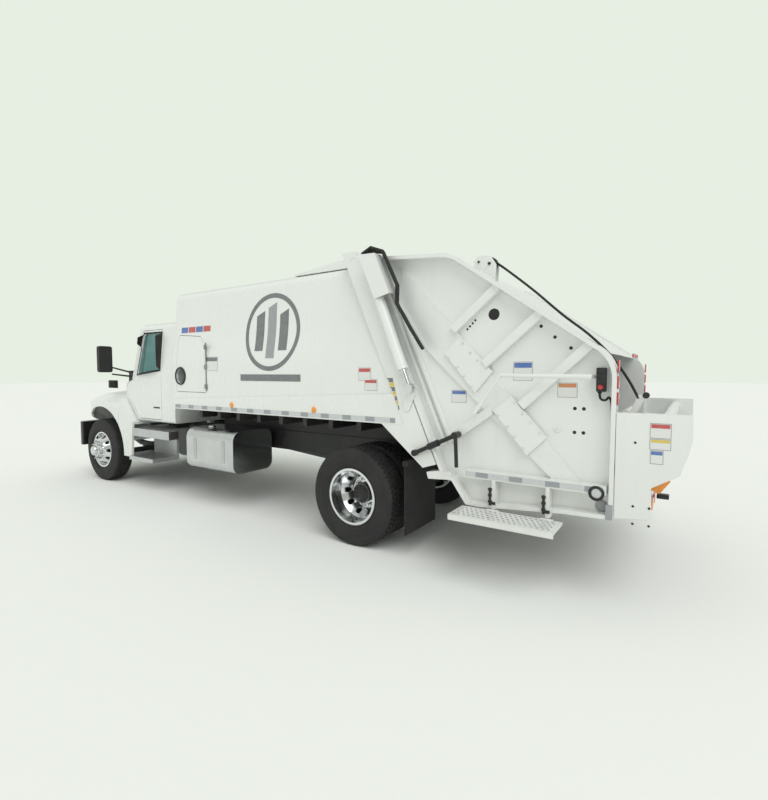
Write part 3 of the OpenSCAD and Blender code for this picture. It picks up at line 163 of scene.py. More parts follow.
def paint(name, base, coat=0.55, low=0.2, high=0.36, bottom_dark=0.35):
    """Sprayed enamel: orange peel, faint mottling, streaky darkening towards the bottom and thin run-off
    streaks.
    """
    s = Shader(name, base, rough=low, coat=coat, coat_rough=0.06)
    s.edges(0.005)
    cloud = s.noise(1.3, 5, 0.6)
    streak = s.noise(9, 4, 0.6, (1, 1, 0.09))
    fine = s.noise(38, 3, 0.5)
    tone = tuple(c * 0.93 for c in base)
    col = s.mix(s.math("MULTIPLY", cloud, 0.5), base, tone)
    # Darker in streaks towards the bottom: a dark grey mixed in from 1.5 m down, fully by 0.35 m, through
    # the streak noise.
    low_down = s.node("ShaderNodeMapRange")
    low_down.inputs["From Min"].default_value = 1.5
    low_down.inputs["From Max"].default_value = 0.35
    s.link(s.height(), low_down.inputs["Value"])
    film = s.math("MULTIPLY", s.math("MULTIPLY", low_down.outputs["Result"], streak), bottom_dark)
    col = s.mix(film, col, (0.36, 0.35, 0.32))
    runs = s.ramp(streak, [(0.58, (0, 0, 0)), (0.78, (1, 1, 1))])
    col = s.mix(s.math("MULTIPLY", runs, 0.10), col, (0.48, 0.47, 0.43))
    s.color(col)
    s.rough(s.math("ADD", s.math("MULTIPLY", cloud, 0.6), s.math("MULTIPLY", streak, 0.4)), low, high)
    s.bump(fine, 0.05, 0.004)
    s.bump(s.noise(520, 2, 0.5), 0.05, 0.0006)
    return s.mat


def black_coat(name, base=(0.016, 0.017, 0.018), rough=(0.32, 0.62), dust=0.35):
    """Chassis enamel with settled dust and small chips."""
    s = Shader(name, base, rough=0.45)
    s.edges(0.004)
    cloud = s.noise(2.2, 6, 0.65)
    speck = s.noise(85, 3, 0.6)
    col = s.mix(s.math("MULTIPLY", s.ramp(cloud, [(0.42, (0, 0, 0)), (0.8, (1, 1, 1))]), dust), base,
                (0.13, 0.125, 0.115))
    chips = s.ramp(speck, [(0.70, (0, 0, 0)), (0.74, (1, 1, 1))])
    col = s.mix(s.math("MULTIPLY", chips, 0.5), col, (0.15, 0.14, 0.13))
    s.color(col)
    s.rough(cloud, *rough)
    s.bump(speck, 0.12, 0.0012)
    return s.mat


def plastic(name, base=(0.018, 0.018, 0.019), low=0.38, high=0.6):
    """Moulded plastic with a fine leather-like grain."""
    s = Shader(name, base, rough=0.45)
    s.edges(0.004)
    cell = s.node("ShaderNodeTexVoronoi", Scale=420)
    s.link(s.coords(), cell.inputs["Vector"])
    worn = s.noise(6, 4, 0.6)
    s.color(s.mix(s.math("MULTIPLY", worn, 0.35), base, tuple(min(1, c * 2.2 + 0.01) for c in base)))
    s.rough(worn, low, high)
    s.bump(cell.outputs["Distance"], 0.16, 0.0008)
    return s.mat


def metal(name, base, low, high, stretch=(1, 1, 30), grain=0.18, spots=0.12):
    """Bare metal with directional grain, smears and a few dull spots."""
    s = Shader(name, base, rough=low, metallic=1.0)
    s.edges(0.003)
    lines = s.noise(28, 4, 0.6, stretch)
    smear = s.noise(3.5, 5, 0.6)
    col = s.mix(s.math("MULTIPLY", s.ramp(smear, [(0.45, (0, 0, 0)), (0.85, (1, 1, 1))]), spots * 3), base,
                tuple(c * 0.55 for c in base))
    s.color(s.mix(s.math("MULTIPLY", lines, 0.25), col, tuple(c * 0.75 for c in base)))
    s.rough(s.math("ADD", s.math("MULTIPLY", lines, 0.5), s.math("MULTIPLY", smear, 0.5)), low, high)
    s.bump(lines, grain, 0.0006)
    return s.mat


def rubber(name, base=(0.017, 0.017, 0.018)):
    """Tyre rubber: grey bloom, scuffs and a dusty tread."""
    s = Shader(name, base, rough=0.7, specular=0.4)
    bloom = s.noise(7, 6, 0.65)
    scuff = s.noise(60, 4, 0.6)
    col = s.mix(s.math("MULTIPLY", s.ramp(bloom, [(0.38, (0, 0, 0)), (0.75, (1, 1, 1))]), 0.55), base,
                (0.052, 0.05, 0.047))
    s.color(s.mix(s.math("MULTIPLY", s.ramp(scuff, [(0.6, (0, 0, 0)), (0.8, (1, 1, 1))]), 0.3), col,
                  (0.085, 0.08, 0.074)))
    s.rough(bloom, 0.55, 0.85)
    s.bump(scuff, 0.12, 0.0015)
    return s.mat


def worn_steel(name):
    """Hopper steel: paint scraped to bright metal, rust in the hollows."""
    s = Shader(name, (0.33, 0.34, 0.35), rough=0.5, metallic=0.7)
    s.edges(0.004)
    scrape = s.noise(5, 6, 0.7, (1, 1, 0.16))
    rust = s.noise(3.2, 7, 0.7)
    col = s.mix(s.ramp(scrape, [(0.42, (0, 0, 0)), (0.66, (1, 1, 1))]), (0.21, 0.215, 0.22),
                (0.46, 0.465, 0.47))
    s.color(s.mix(s.math("MULTIPLY", s.ramp(rust, [(0.55, (0, 0, 0)), (0.75, (1, 1, 1))]), 0.7), col,
                  (0.17, 0.085, 0.04)))
    s.rough(scrape, 0.32, 0.66)
    s.bump(scrape, 0.25, 0.003)
    return s.mat


def glass(name, base, alpha_like=0.85, rough=0.02):
    s = Shader(name, base, rough=rough, specular=0.6)
    s.set("Transmission Weight", alpha_like)
    s.set("IOR", 1.12)
    film = s.noise(4, 4, 0.6)
    s.rough(film, rough, rough + 0.06)
    return s.mat


def cloth(name, base):
    """Woven seat fabric: two crossed thread directions and a mottled wear."""
    s = Shader(name, base, rough=0.9, specular=0.25)
    s.set("Sheen Weight", 0.3)
    s.set("Sheen Roughness", 0.5)
    warp = s.node("ShaderNodeTexWave", Scale=180, Distortion=0.6, Detail=2)
    warp.bands_direction = "Y"
    weft = s.node("ShaderNodeTexWave", Scale=180, Distortion=0.6, Detail=2)
    weft.bands_direction = "Z"
    for w in (warp, weft):
        s.link(s.coords(), w.inputs["Vector"])
    weave = s.math("MULTIPLY", warp.outputs["Fac"], weft.outputs["Fac"])
    wear = s.noise(9, 5, 0.6)
    col = s.mix(weave, tuple(c * 0.6 for c in base), tuple(min(1, c * 1.5) for c in base))
    s.color(s.mix(s.math("MULTIPLY", wear, 0.3), col, (0.12, 0.12, 0.125)))
    s.rough(wear, 0.8, 0.97)
    s.bump(weave, 0.4, 0.0012)
    return s.mat


def tape(name, a, b, length):
    """Reflective tape in blocks of two colours with a honeycomb under its film."""
    s = Shader(name, a, rough=0.3, coat=0.6)
    place = s.node("ShaderNodeTexCoord")
    part = s.node("ShaderNodeSeparateXYZ")
    s.link(place.outputs["Object"], part.inputs[0])
    step = s.math("GREATER_THAN", s.math("FRACT", s.math("MULTIPLY", part.outputs["X"], 1 / length)), 0.62)
    cell = s.node("ShaderNodeTexVoronoi", Scale=160)
    s.link(s.coords(), cell.inputs["Vector"])
    col = s.mix(step, a, b)
    s.color(s.mix(s.math("MULTIPLY", cell.outputs["Distance"], 0.45), col, (0.25, 0.26, 0.28)))
    s.rough(s.noise(20, 3), 0.22, 0.4)
    s.bump(cell.outputs["Distance"], 0.1, 0.0005)
    return s.mat


def lens(name, base, glow=0.0):
    """Moulded lamp lens with its small prisms."""
    s = Shader(name, base, rough=0.12, coat=0.8)
    cell = s.node("ShaderNodeTexVoronoi", Scale=130)
    s.link(s.coords(), cell.inputs["Vector"])
    s.color(s.mix(s.math("MULTIPLY", cell.outputs["Distance"], 0.7), base, tuple(c * 0.4 for c in base)))
    if glow:
        s.set("Emission Color", (*base, 1))
        s.set("Emission Strength", glow)
    s.rough(s.noise(25, 3), 0.08, 0.2)
    s.bump(cell.outputs["Distance"], 0.4, 0.001)
    return s.mat


def vinyl(name, base):
    """Printed vinyl sticker, slightly faded in patches."""
    s = Shader(name, base, rough=0.4, coat=0.25)
    fade = s.noise(14, 4, 0.6)
    s.color(s.mix(s.math("MULTIPLY", fade, 0.35), base, tuple(0.35 * c + 0.45 for c in base)))
    s.rough(fade, 0.3, 0.5)
    s.bump(s.noise(180, 2), 0.08, 0.0004)
    return s.mat


white = paint("white_paint", (0.86, 0.875, 0.86))
gate_white = paint("tailgate_white", (0.86, 0.87, 0.86), low=0.24, high=0.4)
chassis = black_coat("black_chassis")
engine = black_coat("engine_grey", (0.085, 0.088, 0.09), (0.4, 0.7))
moulded = plastic("black_plastic")
black_paint = black_coat("black_steel", (0.012, 0.012, 0.013), (0.25, 0.5), dust=0.18)
soft_black = rubber("black_rubber", (0.014, 0.014, 0.015))
tyre = rubber("tyre_rubber")
alu = metal("step_aluminium", (0.62, 0.63, 0.64), 0.26, 0.5)
tank_metal = metal("polished_tank", (0.66, 0.67, 0.68), 0.10, 0.26, (0.3, 12, 12), 0.1)
wheel_metal = metal("polished_wheel", (0.80, 0.81, 0.82), 0.07, 0.2, (1, 1, 1), 0.06, 0.06)
chrome = metal("rod_chrome", (0.75, 0.76, 0.77), 0.05, 0.14, (20, 20, 1), 0.03, 0.04)
exhaust = metal("exhaust_steel", (0.42, 0.39, 0.35), 0.3, 0.55)
worn = worn_steel("worn_steel")
pane = glass("tinted_glass", (0.45, 0.66, 0.66))
fabric = cloth("seat_fabric", (0.055, 0.058, 0.064))
amber = lens("amber_lens", (0.95, 0.33, 0.03), 0.15)
red_lens = lens("red_lens", (0.62, 0.02, 0.02), 0.05)
clear_lens = lens("clear_lens", (0.72, 0.74, 0.75))
silver_tape = tape("reflective_tape", (0.70, 0.72, 0.73), (0.34, 0.36, 0.39), 0.3)
ink = {
    "white": vinyl("vinyl_white", (0.80, 0.80, 0.79)),
    "red": vinyl("vinyl_red", (0.55, 0.03, 0.03)),
    "blue": vinyl("vinyl_blue", (0.03, 0.13, 0.45)),
    "orange": vinyl("vinyl_orange", (0.62, 0.20, 0.04)),
    "yellow": vinyl("vinyl_yellow", (0.75, 0.55, 0.05)),
    "grey": vinyl("vinyl_grey", (0.13, 0.135, 0.145)),
    "mid": vinyl("vinyl_mid", (0.30, 0.31, 0.33)),
}

# ---- Finishes on the CAD nodes ----
finish = {
    chassis: ["frame_rails", "rear_axle", "front_axle", "leaf_springs", "left_knuckle", "right_knuckle",
              "tie_rod",
              "body_subframe", "side_boxes"],
    engine: ["powertrain"],
    white: ["cab_shell", "hood", "left_door", "right_door", "fender_extensions", "body_shell",
            "access_door"],
    gate_white: ["rear_frame", "tailgate_sides", "tailgate_cover", "hopper_wings", "grab_rails",
                 "left_side_step",
                 "right_side_step", "left_lift_barrel", "right_lift_barrel"],
    moulded: ["dashboard", "steering_wheel", "mirrors"],
    black_paint: ["tailgate_clamps", "front_bumper"],
    soft_black: ["hinge_hoses", "mudflaps"],
    tank_metal: ["fuel_tank"],
    alu: ["cab_steps"],
    wheel_metal: ["left_front_rim", "right_front_rim", "left_rear_rims", "right_rear_rims"],
    exhaust: ["exhaust_system"],
    worn: ["hopper_tub", "slide_panel", "packer_blade", "ejector_panel"],
    chrome: ["left_lift_rod", "right_lift_rod", "grille"],
    pane: ["cab_glass", "left_door_glass", "right_door_glass"],
}
for material, names in finish.items():
    for n in names:
        nodes[n].data.materials.clear()
        nodes[n].data.materials.append(material)


# ---- Mesh builder ----
class Build:
    """Collects primitives in one mesh, in the row frame, in metres."""

    def __init__(self):
        self.bm = bmesh.new()

    def box(self, lo, hi, round_by=0.0, turn=None, at=None):
        lo, hi = Vector(lo), Vector(hi)
        made = bmesh.ops.create_cube(self.bm, size=1.0)["verts"]
        size, mid = hi - lo, (hi + lo) / 2
        for v in made:
            v.co = Vector(c * s for c, s in zip(v.co, size)) + mid
        if round_by:
            edges = list({e for v in made for e in v.link_edges})
            done = bmesh.ops.bevel(self.bm, geom=edges, offset=round_by, segments=2, affect="EDGES",
                                   profile=0.5)
            made = list({v for f in done["faces"] for v in f.verts})
        if turn:
            bmesh.ops.rotate(self.bm, verts=made, cent=Vector(at or mid), matrix=turn)
        return self

    def cyl(self, at, axis, r, h, n=24, r2=None, round_by=0.0):
        """A cylinder or cone from at, along axis."""
        turn = Vector((0, 0, 1)).rotation_difference(Vector(axis)).to_matrix().to_4x4()
        place = Matrix.Translation(Vector(at)) @ turn @ Matrix.Translation((0, 0, h / 2))
        made = bmesh.ops.create_cone(self.bm, cap_ends=True, segments=n, radius1=r,
                                     radius2=r if r2 is None else r2,
                                     depth=h, matrix=place)["verts"]
        if round_by:
            rims = [e for v in made for e in v.link_edges if len(e.link_faces) == 2
                    and any(len(f.verts) > 4 for f in e.link_faces)]
            bmesh.ops.bevel(self.bm, geom=list(set(rims)), offset=round_by, segments=2, affect="EDGES",
                            profile=0.5)
        return self

    def turned(self, at, axis, profile, n=48):
        """A shape turned about axis: profile is (radius, along) from the middle outwards."""
        turn = Vector((0, 0, 1)).rotation_difference(Vector(axis)).to_matrix()
        rings = []
        for r, h in profile:
            if r < 1e-6:
                rings.append([self.bm.verts.new(Vector(at) + turn @ Vector((0, 0, h)))])
            else:
                around = [2 * math.pi * i / n for i in range(n)]
                rings.append([self.bm.verts.new(Vector(at) + turn @ Vector((r * math.cos(t),
                                                                            r * math.sin(t), h)))
                              for t in around])
        for a, b in zip(rings, rings[1:]):
            for i in range(n):
                j = (i + 1) % n
                if len(a) == 1 and len(b) == 1:
                    continue
                if len(a) == 1:
                    self.bm.faces.new((a[0], b[i], b[j]))
                elif len(b) == 1:
                    self.bm.faces.new((a[i], b[0], a[j]))
                else:
                    self.bm.faces.new((a[i], b[i], b[j], a[j]))
        return self

    def pipe(self, path, r, n=10):
        """A round tube along the points, with its corners turned smoothly."""
        pts = smooth_path([Vector(p) for p in path])
        ring_before = None
        side = None
        for i, p in enumerate(pts):
            ahead = (pts[min(i + 1, len(pts) - 1)] - pts[max(i - 1, 0)]).normalized()
            if side is None:
                side = ahead.orthogonal().normalized()
            side = (side - ahead * side.dot(ahead)).normalized()
            up = ahead.cross(side)
            around = [2 * math.pi * k / n for k in range(n)]
            ring = [self.bm.verts.new(p + (side * math.cos(t) + up * math.sin(t)) * r) for t in around]
            if ring_before:
                for k in range(n):
                    self.bm.faces.new((ring_before[k], ring_before[(k + 1) % n], ring[(k + 1) % n],
                                       ring[k]))
            else:
                self.bm.faces.new(list(reversed(ring)))
            ring_before = ring
        self.bm.faces.new(ring_before)
        return self

    def plate(self, outline, y0, y1):
        """A flat plate between y0 and y1 with an outline of (x, z) points."""
        a = [self.bm.verts.new((x, y0, z)) for x, z in outline]
        b = [self.bm.verts.new((x, y1, z)) for x, z in outline]
        self.bm.faces.new(a)
        self.bm.faces.new(list(reversed(b)))
        for i in range(len(a)):
            j = (i + 1) % len(a)
            self.bm.faces.new((a[j], a[i], b[i], b[j]))
        return self

    def mirrored(self):
        """The same on the other side of the truck as well."""
        twin = bmesh.ops.duplicate(self.bm,
                                   geom=self.bm.verts[:] + self.bm.edges[:] + self.bm.faces[:])["geom"]
        verts = [g for g in twin if isinstance(g, bmesh.types.BMVert)]
        faces = [g for g in twin if isinstance(g, bmesh.types.BMFace)]
        bmesh.ops.scale(self.bm, vec=(1, -1, 1), verts=verts)
        bmesh.ops.reverse_faces(self.bm, faces=faces)
        return self

    def done(self, name, material, body, slot=None, smooth=35):
        bmesh.ops.recalc_face_normals(self.bm, faces=self.bm.faces)
        mesh = bpy.data.meshes.new(name)
        self.bm.to_mesh(mesh)
        self.bm.free()
        mesh.materials.append(material)
        obj = bpy.data.objects.new(name, mesh)
        bpy.context.scene.collection.objects.link(obj)
        if smooth:
            mesh.set_sharp_from_angle(angle=math.radians(smooth))
            mesh.polygons.foreach_set("use_smooth", [True] * len(mesh.polygons))
        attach(obj, body)
        return obj


def smooth_path(pts, steps=7):
    """A Catmull-Rom curve through the points."""
    if len(pts) < 3:
        return pts
    ends = [2 * pts[0] - pts[1], *pts, 2 * pts[-1] - pts[-2]]
    out = []
    for a, b, c, d in zip(ends, ends[1:], ends[2:], ends[3:]):
        for i in range(steps):
            t = i / steps
            out.append(0.5 * ((2 * b) + (c - a) * t + (2 * a - 5 * b + 4 * c - d) * t * t
                              + (3 * b - a - 3 * c + d) * t ** 3))
    return out + [pts[-1]]


# ---- Camera, floor and light ----
EYE = (-4.580, 4.922, 1.813)  # solved from the wheels in the photo
LOOK = (0.5398, -0.8401, -0.0522)
FOCAL_MM = 20.71
SHIFT = (-0.0164, -0.0049)
FLOOR_R = 90
SKY_ON_TRUCK = 0.60  # the sky's strength as light, when 1 is how bright it shows


def stage():
    """The camera, the pale floor, the sky and three soft suns."""
    scene = bpy.context.scene
    cam = bpy.data.cameras.new("camera")
    cam.lens = FOCAL_MM
    cam.shift_x, cam.shift_y = SHIFT
    eye = bpy.data.objects.new("camera", cam)
    eye.location = EYE
    eye.rotation_euler = Vector(LOOK).to_track_quat("-Z", "Y").to_euler()
    scene.collection.objects.link(eye)
    scene.camera = eye

    bm = bmesh.new()
    bmesh.ops.create_circle(bm, cap_ends=True, segments=96, radius=FLOOR_R)
    mesh = bpy.data.meshes.new("floor")
    bm.to_mesh(mesh)
    bm.free()
    floor = bpy.data.objects.new("floor", mesh)
    floor.location = (0, 0, -0.002)
    scene.collection.objects.link(floor)
    s = Shader("floor", (0.93, 0.93, 0.93), rough=0.95, specular=0.05)
    grain = s.noise(3, 4)
    s.color(s.mix(s.math("MULTIPLY", grain, 0.05), (0.93, 0.935, 0.925), (0.90, 0.90, 0.89)))
    mesh.materials.append(s.mat)

    # The sky lights the truck less than it shows, so that the floor and the sky meet in one tone
    world = bpy.data.worlds.new("studio")
    world.use_nodes = True
    scene.world = world
    tree = world.node_tree
    back = tree.nodes["Background"]
    back.inputs["Color"].default_value = (0.80, 0.855, 0.765, 1)
    seen = tree.nodes.new("ShaderNodeLightPath")
    level = tree.nodes.new("ShaderNodeMapRange")
    level.inputs["To Min"].default_value = SKY_ON_TRUCK
    level.inputs["To Max"].default_value = 1.0
    tree.links.new(seen.outputs["Is Camera Ray"], level.inputs["Value"])
    tree.links.new(level.outputs["Result"], back.inputs["Strength"])
    scene.view_settings.view_transform = "Standard"

    for name, toward, energy, angle in (
        ("key", (0.62, -0.50, -0.95), 1.35, 45),
        ("fill", (-0.75, -0.65, -0.55), 0.35, 80),
        ("back", (0.2, 0.9, -0.7), 0.30, 80),
    ):
        data = bpy.data.lights.new(name, "SUN")
        data.energy = energy
        data.angle = math.radians(angle)
        lamp = bpy.data.objects.new(name, data)
        lamp.location = (0, 0, 12)
        lamp.rotation_euler = Vector(toward).to_track_quat("-Z", "Y").to_euler()
        scene.collection.objects.link(lamp)


stage()


# ---- Wheels ----
x_front_axle = (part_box("left_front_tyre")[0].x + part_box("left_front_tyre")[1].x) / 2
x_rear_axle = (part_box("left_rear_tyres")[0].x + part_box("left_rear_tyres")[1].x) / 2
tyre_r = (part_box("left_front_tyre")[1].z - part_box("left_front_tyre")[0].z) / 2
rim_r = 0.2865
REAR_TYRE_HALF = 0.137
NUT_COUNT, NUT_CIRCLE_R = 10, 0.1425
FRONT_FACE_Y, FRONT_HUB_Y = 1.190, 1.230
REAR_FACE_Y, REAR_HUB_Y = 0.925, 1.030


def tyre_mesh(x, y, width=0.272, block=0.012, turns=60):
    """A ribbed highway tyre: round shoulders, rings on the sidewall and cut tread blocks."""
    w, r = width / 2, tyre_r
    half = [(rim_r + 0.004, 0.80), (rim_r + 0.016, 0.88), (rim_r + 0.020, 0.84), (rim_r + 0.055, 0.965),
            (rim_r + 0.058, 0.985),
            (rim_r + 0.068, 0.985), (rim_r + 0.071, 0.975), (r - 0.150, 1.0), (r - 0.110, 1.0),
            (r - 0.105, 0.985),
            (r - 0.070, 0.955), (r - 0.066, 0.965), (r - 0.038, 0.93), (r - 0.024, 0.89)]
    # Tread across the crown: (radius, across, is a block's top)
    crown = [(r - 0.012, 0.865, 1), (r - 0.004, 0.80, 2), (r - 0.001, 0.52, 2), (r - block, 0.50, 0),
             (r - block, 0.44, 0),
             (r, 0.42, 1), (r, 0.16, 1), (r - block, 0.14, 0), (r - block, 0.08, 0), (r, 0.06, 1)]
    profile = [(a, b * w, 0) for a, b in half] + [(a, b * w, c) for a, b, c in crown]
    profile += [(a, -b, c) for a, b, c in reversed(profile)]
    bm = bmesh.new()
    rows = []
    n = turns * 4
    for i in range(n):
        row = []
        for k, (a, b, c) in enumerate(profile):
            central = abs(b) < 0.5 * w
            cut = (c == 2 and i % 4 == 0) or (c == 1 and (i + (2 if b > 0 else 0)) % 4 == 0 and central)
            skew = 0.018 if c and central else 0.0
            t = 2 * math.pi * (i + skew * b * 90) / n
            rr = a - (block * 0.8 if cut else 0)
            row.append(bm.verts.new((x + rr * math.sin(t), y + b, tyre_r + rr * math.cos(t))))
        rows.append(row)
    for i in range(n):
        a, b = rows[i], rows[(i + 1) % n]
        for k in range(len(profile) - 1):
            bm.faces.new((a[k], a[k + 1], b[k + 1], b[k]))
    return bm


def add_tyre(name, node, body, places):
    """One piece of one or two tyres, which stands for the plain CAD tyres."""
    bm = bmesh.new()
    for x, y in places:
        part = tyre_mesh(x, y)
        mesh = bpy.data.meshes.new("part")
        part.to_mesh(mesh)
        part.free()
        bm.from_mesh(mesh)
        bpy.data.meshes.remove(mesh)
    b = Build()
    b.bm.free()
    b.bm = bm
    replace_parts(b.done(name, tyre, body, "tyre_rubber", smooth=28), node)


tyres_y = {n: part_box(n) for n in ("left_front_tyre", "left_rear_tyres")}
front_y = (tyres_y["left_front_tyre"][0].y + tyres_y["left_front_tyre"][1].y) / 2
rear_in = tyres_y["left_rear_tyres"][0].y + REAR_TYRE_HALF
rear_out = tyres_y["left_rear_tyres"][1].y - REAR_TYRE_HALF
for side, s in (("left", 1), ("right", -1)):
    add_tyre(f"{side}_front_tread", f"{side}_front_tyre", f"{side}_front_wheel",
             [(x_front_axle, s * front_y)])
    add_tyre(f"{side}_rear_treads", f"{side}_rear_tyres", f"{side}_rear_wheels",
             [(x_rear_axle, s * rear_in), (x_rear_axle, s * rear_out)])


def hub(side, s, body, x, face_y, hub_y, rear):
    """Hub cover, ten wheel nuts with their washers and the valve, out from the disc's face."""
    shiny = Build()
    out = (0, s, 0)
    for i in range(NUT_COUNT):
        t = math.radians(360 / NUT_COUNT * (i + 0.5))
        p = Vector((x + NUT_CIRCLE_R * math.sin(t), s * face_y, tyre_r + NUT_CIRCLE_R * math.cos(t)))
        shiny.cyl(p, out, 0.025, 0.006, 20)
        shiny.cyl(p + Vector((0, s * 0.006, 0)), out, 0.0185, 0.030, 6, round_by=0.003)
        shiny.cyl(p + Vector((0, s * 0.036, 0)), out, 0.011, 0.016, 12, r2=0.009)
    t = math.radians(200)
    shiny.pipe([(x + 0.205 * math.sin(t), s * (face_y - 0.01), tyre_r + 0.205 * math.cos(t)),
                (x + 0.215 * math.sin(t), s * (face_y + 0.02), tyre_r + 0.215 * math.cos(t)),
                (x + 0.235 * math.sin(t), s * (face_y + 0.035), tyre_r + 0.235 * math.cos(t))], 0.004, 8)
    if rear:
        dark = Build()
        dark.turned((x, s * (face_y + 0.004), tyre_r), out, [(0.107, 0), (0.107, hub_y - face_y - 0.01),
                    (0.100, hub_y - face_y + 0.004), (0.092, hub_y - face_y + 0.008),
                                                             (0, hub_y - face_y + 0.010)], 48)
        for i in range(8):
            t = math.radians(45 * i)
            dark.cyl((x + 0.070 * math.sin(t), s * (hub_y + 0.010), tyre_r + 0.070 * math.cos(t)), out,
                     0.009, 0.014, 6)
        dark.done(f"{side}_rear_hub", black_paint, body, "black_steel")
    else:
        shiny.turned((x, s * (hub_y - 0.006), tyre_r), out,
                     [(0.108, 0), (0.106, 0.012), (0.096, 0.020), (0.080, 0.024),
                     (0.078, 0.050), (0.070, 0.064), (0.045, 0.074), (0, 0.078)], 48)
    shiny.done(f"{side}_{'rear' if rear else 'front'}_nuts", chrome, body, "polished_wheel")


for side, s in (("left", 1), ("right", -1)):
    hub(side, s, f"{side}_front_wheel", x_front_axle, FRONT_FACE_Y, FRONT_HUB_Y, False)
    hub(side, s, f"{side}_rear_wheels", x_rear_axle, REAR_FACE_Y, REAR_HUB_Y, True)


# ---- Stickers: blank coloured vinyl laid on the sheets ----
def surface(*names):
    """The outer faces of CAD nodes, to lay thin pieces on."""
    verts, faces = [], []
    for n in names:
        mesh = nodes[n].data
        base = len(verts)
        verts += [v.co.copy() for v in mesh.vertices]
        faces += [[base + i for i in p.vertices] for p in mesh.polygons]
    return BVHTree.FromPolygons(verts, faces)


body_side = surface("body_shell", "access_door")
gate_side = surface("tailgate_sides", "hopper_wings", "rear_frame")
cab_side = surface("cab_shell", "left_door", "right_door", "hood")
laid = {}


def patch(colour, body, tree, corners, lift=0.0016, across=6, up=4, mirror=False, only=0):
    """A thin sheet laid on a side of the truck, with (x, z) corners from the lower left, anticlockwise."""
    b = laid.setdefault((colour, body), Build())
    for s in ((only,) if only else (1, -1) if mirror else (1,)):
        grid = []
        for j in range(up + 1):
            row = []
            for i in range(across + 1):
                u, v = i / across, j / up
                low = Vector(corners[0]).lerp(Vector(corners[1]), u)
                high = Vector(corners[3]).lerp(Vector(corners[2]), u)
                x, z = low.lerp(high, v)
                hit = tree.ray_cast(Vector((x, s * 2.4, z)), Vector((0, -s, 0)))[0]
                row.append(b.bm.verts.new((x, (hit.y if hit else s * 1.1) + s * lift, z)))
            grid.append(row)
        for r0, r1 in zip(grid, grid[1:]):
            for i in range(across):
                face = (r0[i], r0[i + 1], r1[i + 1], r1[i])
                b.bm.faces.new(face if s < 0 else tuple(reversed(face)))


def rect(x, z, w, h):
    """Corners of an upright rectangle around (x, z)."""
    return [(x - w / 2, z - h / 2), (x + w / 2, z - h / 2), (x + w / 2, z + h / 2), (x - w / 2, z + h / 2)]


def notice(body, tree, x, z, w, h, header, mirror=False):
    """A blank notice: a coloured header over plain white, with a thin grey frame."""
    patch("mid", body, tree, rect(x, z, w + 0.008, h + 0.008), 0.0012, mirror=mirror)
    patch("white", body, tree, rect(x, z, w, h), 0.0019, mirror=mirror)
    patch(header, body, tree, rect(x, z + h * 0.33, w * 0.94, h * 0.28), 0.0026, mirror=mirror)


notice("truck", body_side, -1.778, 1.790, 0.150, 0.125, "red", mirror=True)
notice("truck", body_side, -1.855, 1.683, 0.150, 0.105, "red", mirror=True)
notice("tailgate", gate_side, -3.378, 1.820, 0.158, 0.150, "blue", mirror=True)
notice("tailgate", gate_side, -2.793, 1.592, 0.140, 0.105, "blue", mirror=True)
notice("tailgate", gate_side, -3.739, 1.669, 0.145, 0.110, "orange", mirror=True)
notice("tailgate", gate_side, -4.398, 1.395, 0.125, 0.100, "red", mirror=True)
notice("tailgate", gate_side, -4.398, 1.298, 0.125, 0.070, "yellow", mirror=True)
notice("tailgate", gate_side, -4.378, 1.205, 0.075, 0.090, "blue", mirror=True)
notice("truck", body_side, 0.710, 1.920, 0.240, 0.175, "grey")
for i in range(4):
    patch("red" if i % 2 else "blue", "truck", body_side, rect(1.37 - 0.165 * i, 2.39, 0.150, 0.075),
          0.0016)
for i in range(7):
    z = 1.735 - 0.044 * i
    x = -2.092 + 0.4348 * (z - 1.755) * 0.62
    patch("yellow" if i % 2 else "grey", "truck", gate_side,
          [(x - 0.042, z - 0.020), (x + 0.038, z - 0.020), (x + 0.046, z + 0.020), (x - 0.034, z + 0.020)],
          mirror=True)


def emblem(cx, cz):
    """A plain round emblem of three rising bars in a ring, with a blank bar under it."""
    n, outer, inner = 48, 0.46, 0.405
    for i in range(n):
        a, b = 2 * math.pi * i / n, 2 * math.pi * (i + 1) / n
        ring = [(cx + inner * math.cos(a), cz + inner * math.sin(a)),
                (cx + outer * math.cos(a), cz + outer * math.sin(a)),
                (cx + outer * math.cos(b), cz + outer * math.sin(b)),
                (cx + inner * math.cos(b), cz + inner * math.sin(b))]
        patch("grey", "truck", body_side, ring, 0.0017, 1, 1)
    for k, reach in enumerate((0.20, 0.29, 0.20)):
        x = cx + (k - 1) * 0.20
        patch("mid" if k == 1 else "grey", "truck", body_side,
              [(x - 0.07, cz - reach - 0.02), (x + 0.07, cz - reach - 0.02), (x + 0.07, cz + reach),
               (x - 0.07, cz + reach + 0.06)],
              0.0017, 3, 10)
    patch("grey", "truck", body_side, rect(cx, 1.745, 1.02, 0.080), 0.0017, 12, 1)


emblem(-0.375, 2.285)

# Reflective tape along the body's skirt and the tailgate's lower rail
tape_strip = Build()
laid[("tape", "truck")] = tape_strip
patch("tape", "truck", body_side, [(-2.16, 1.318), (1.52, 1.318), (1.52, 1.366), (-2.16, 1.366)], 0.0018,
      90, 1, mirror=True)
patch("tape", "tailgate", gate_side, [(-4.03, 0.893), (-2.90, 0.893), (-2.90, 0.937), (-4.03, 0.937)],
      0.0018, 30, 1, mirror=True)


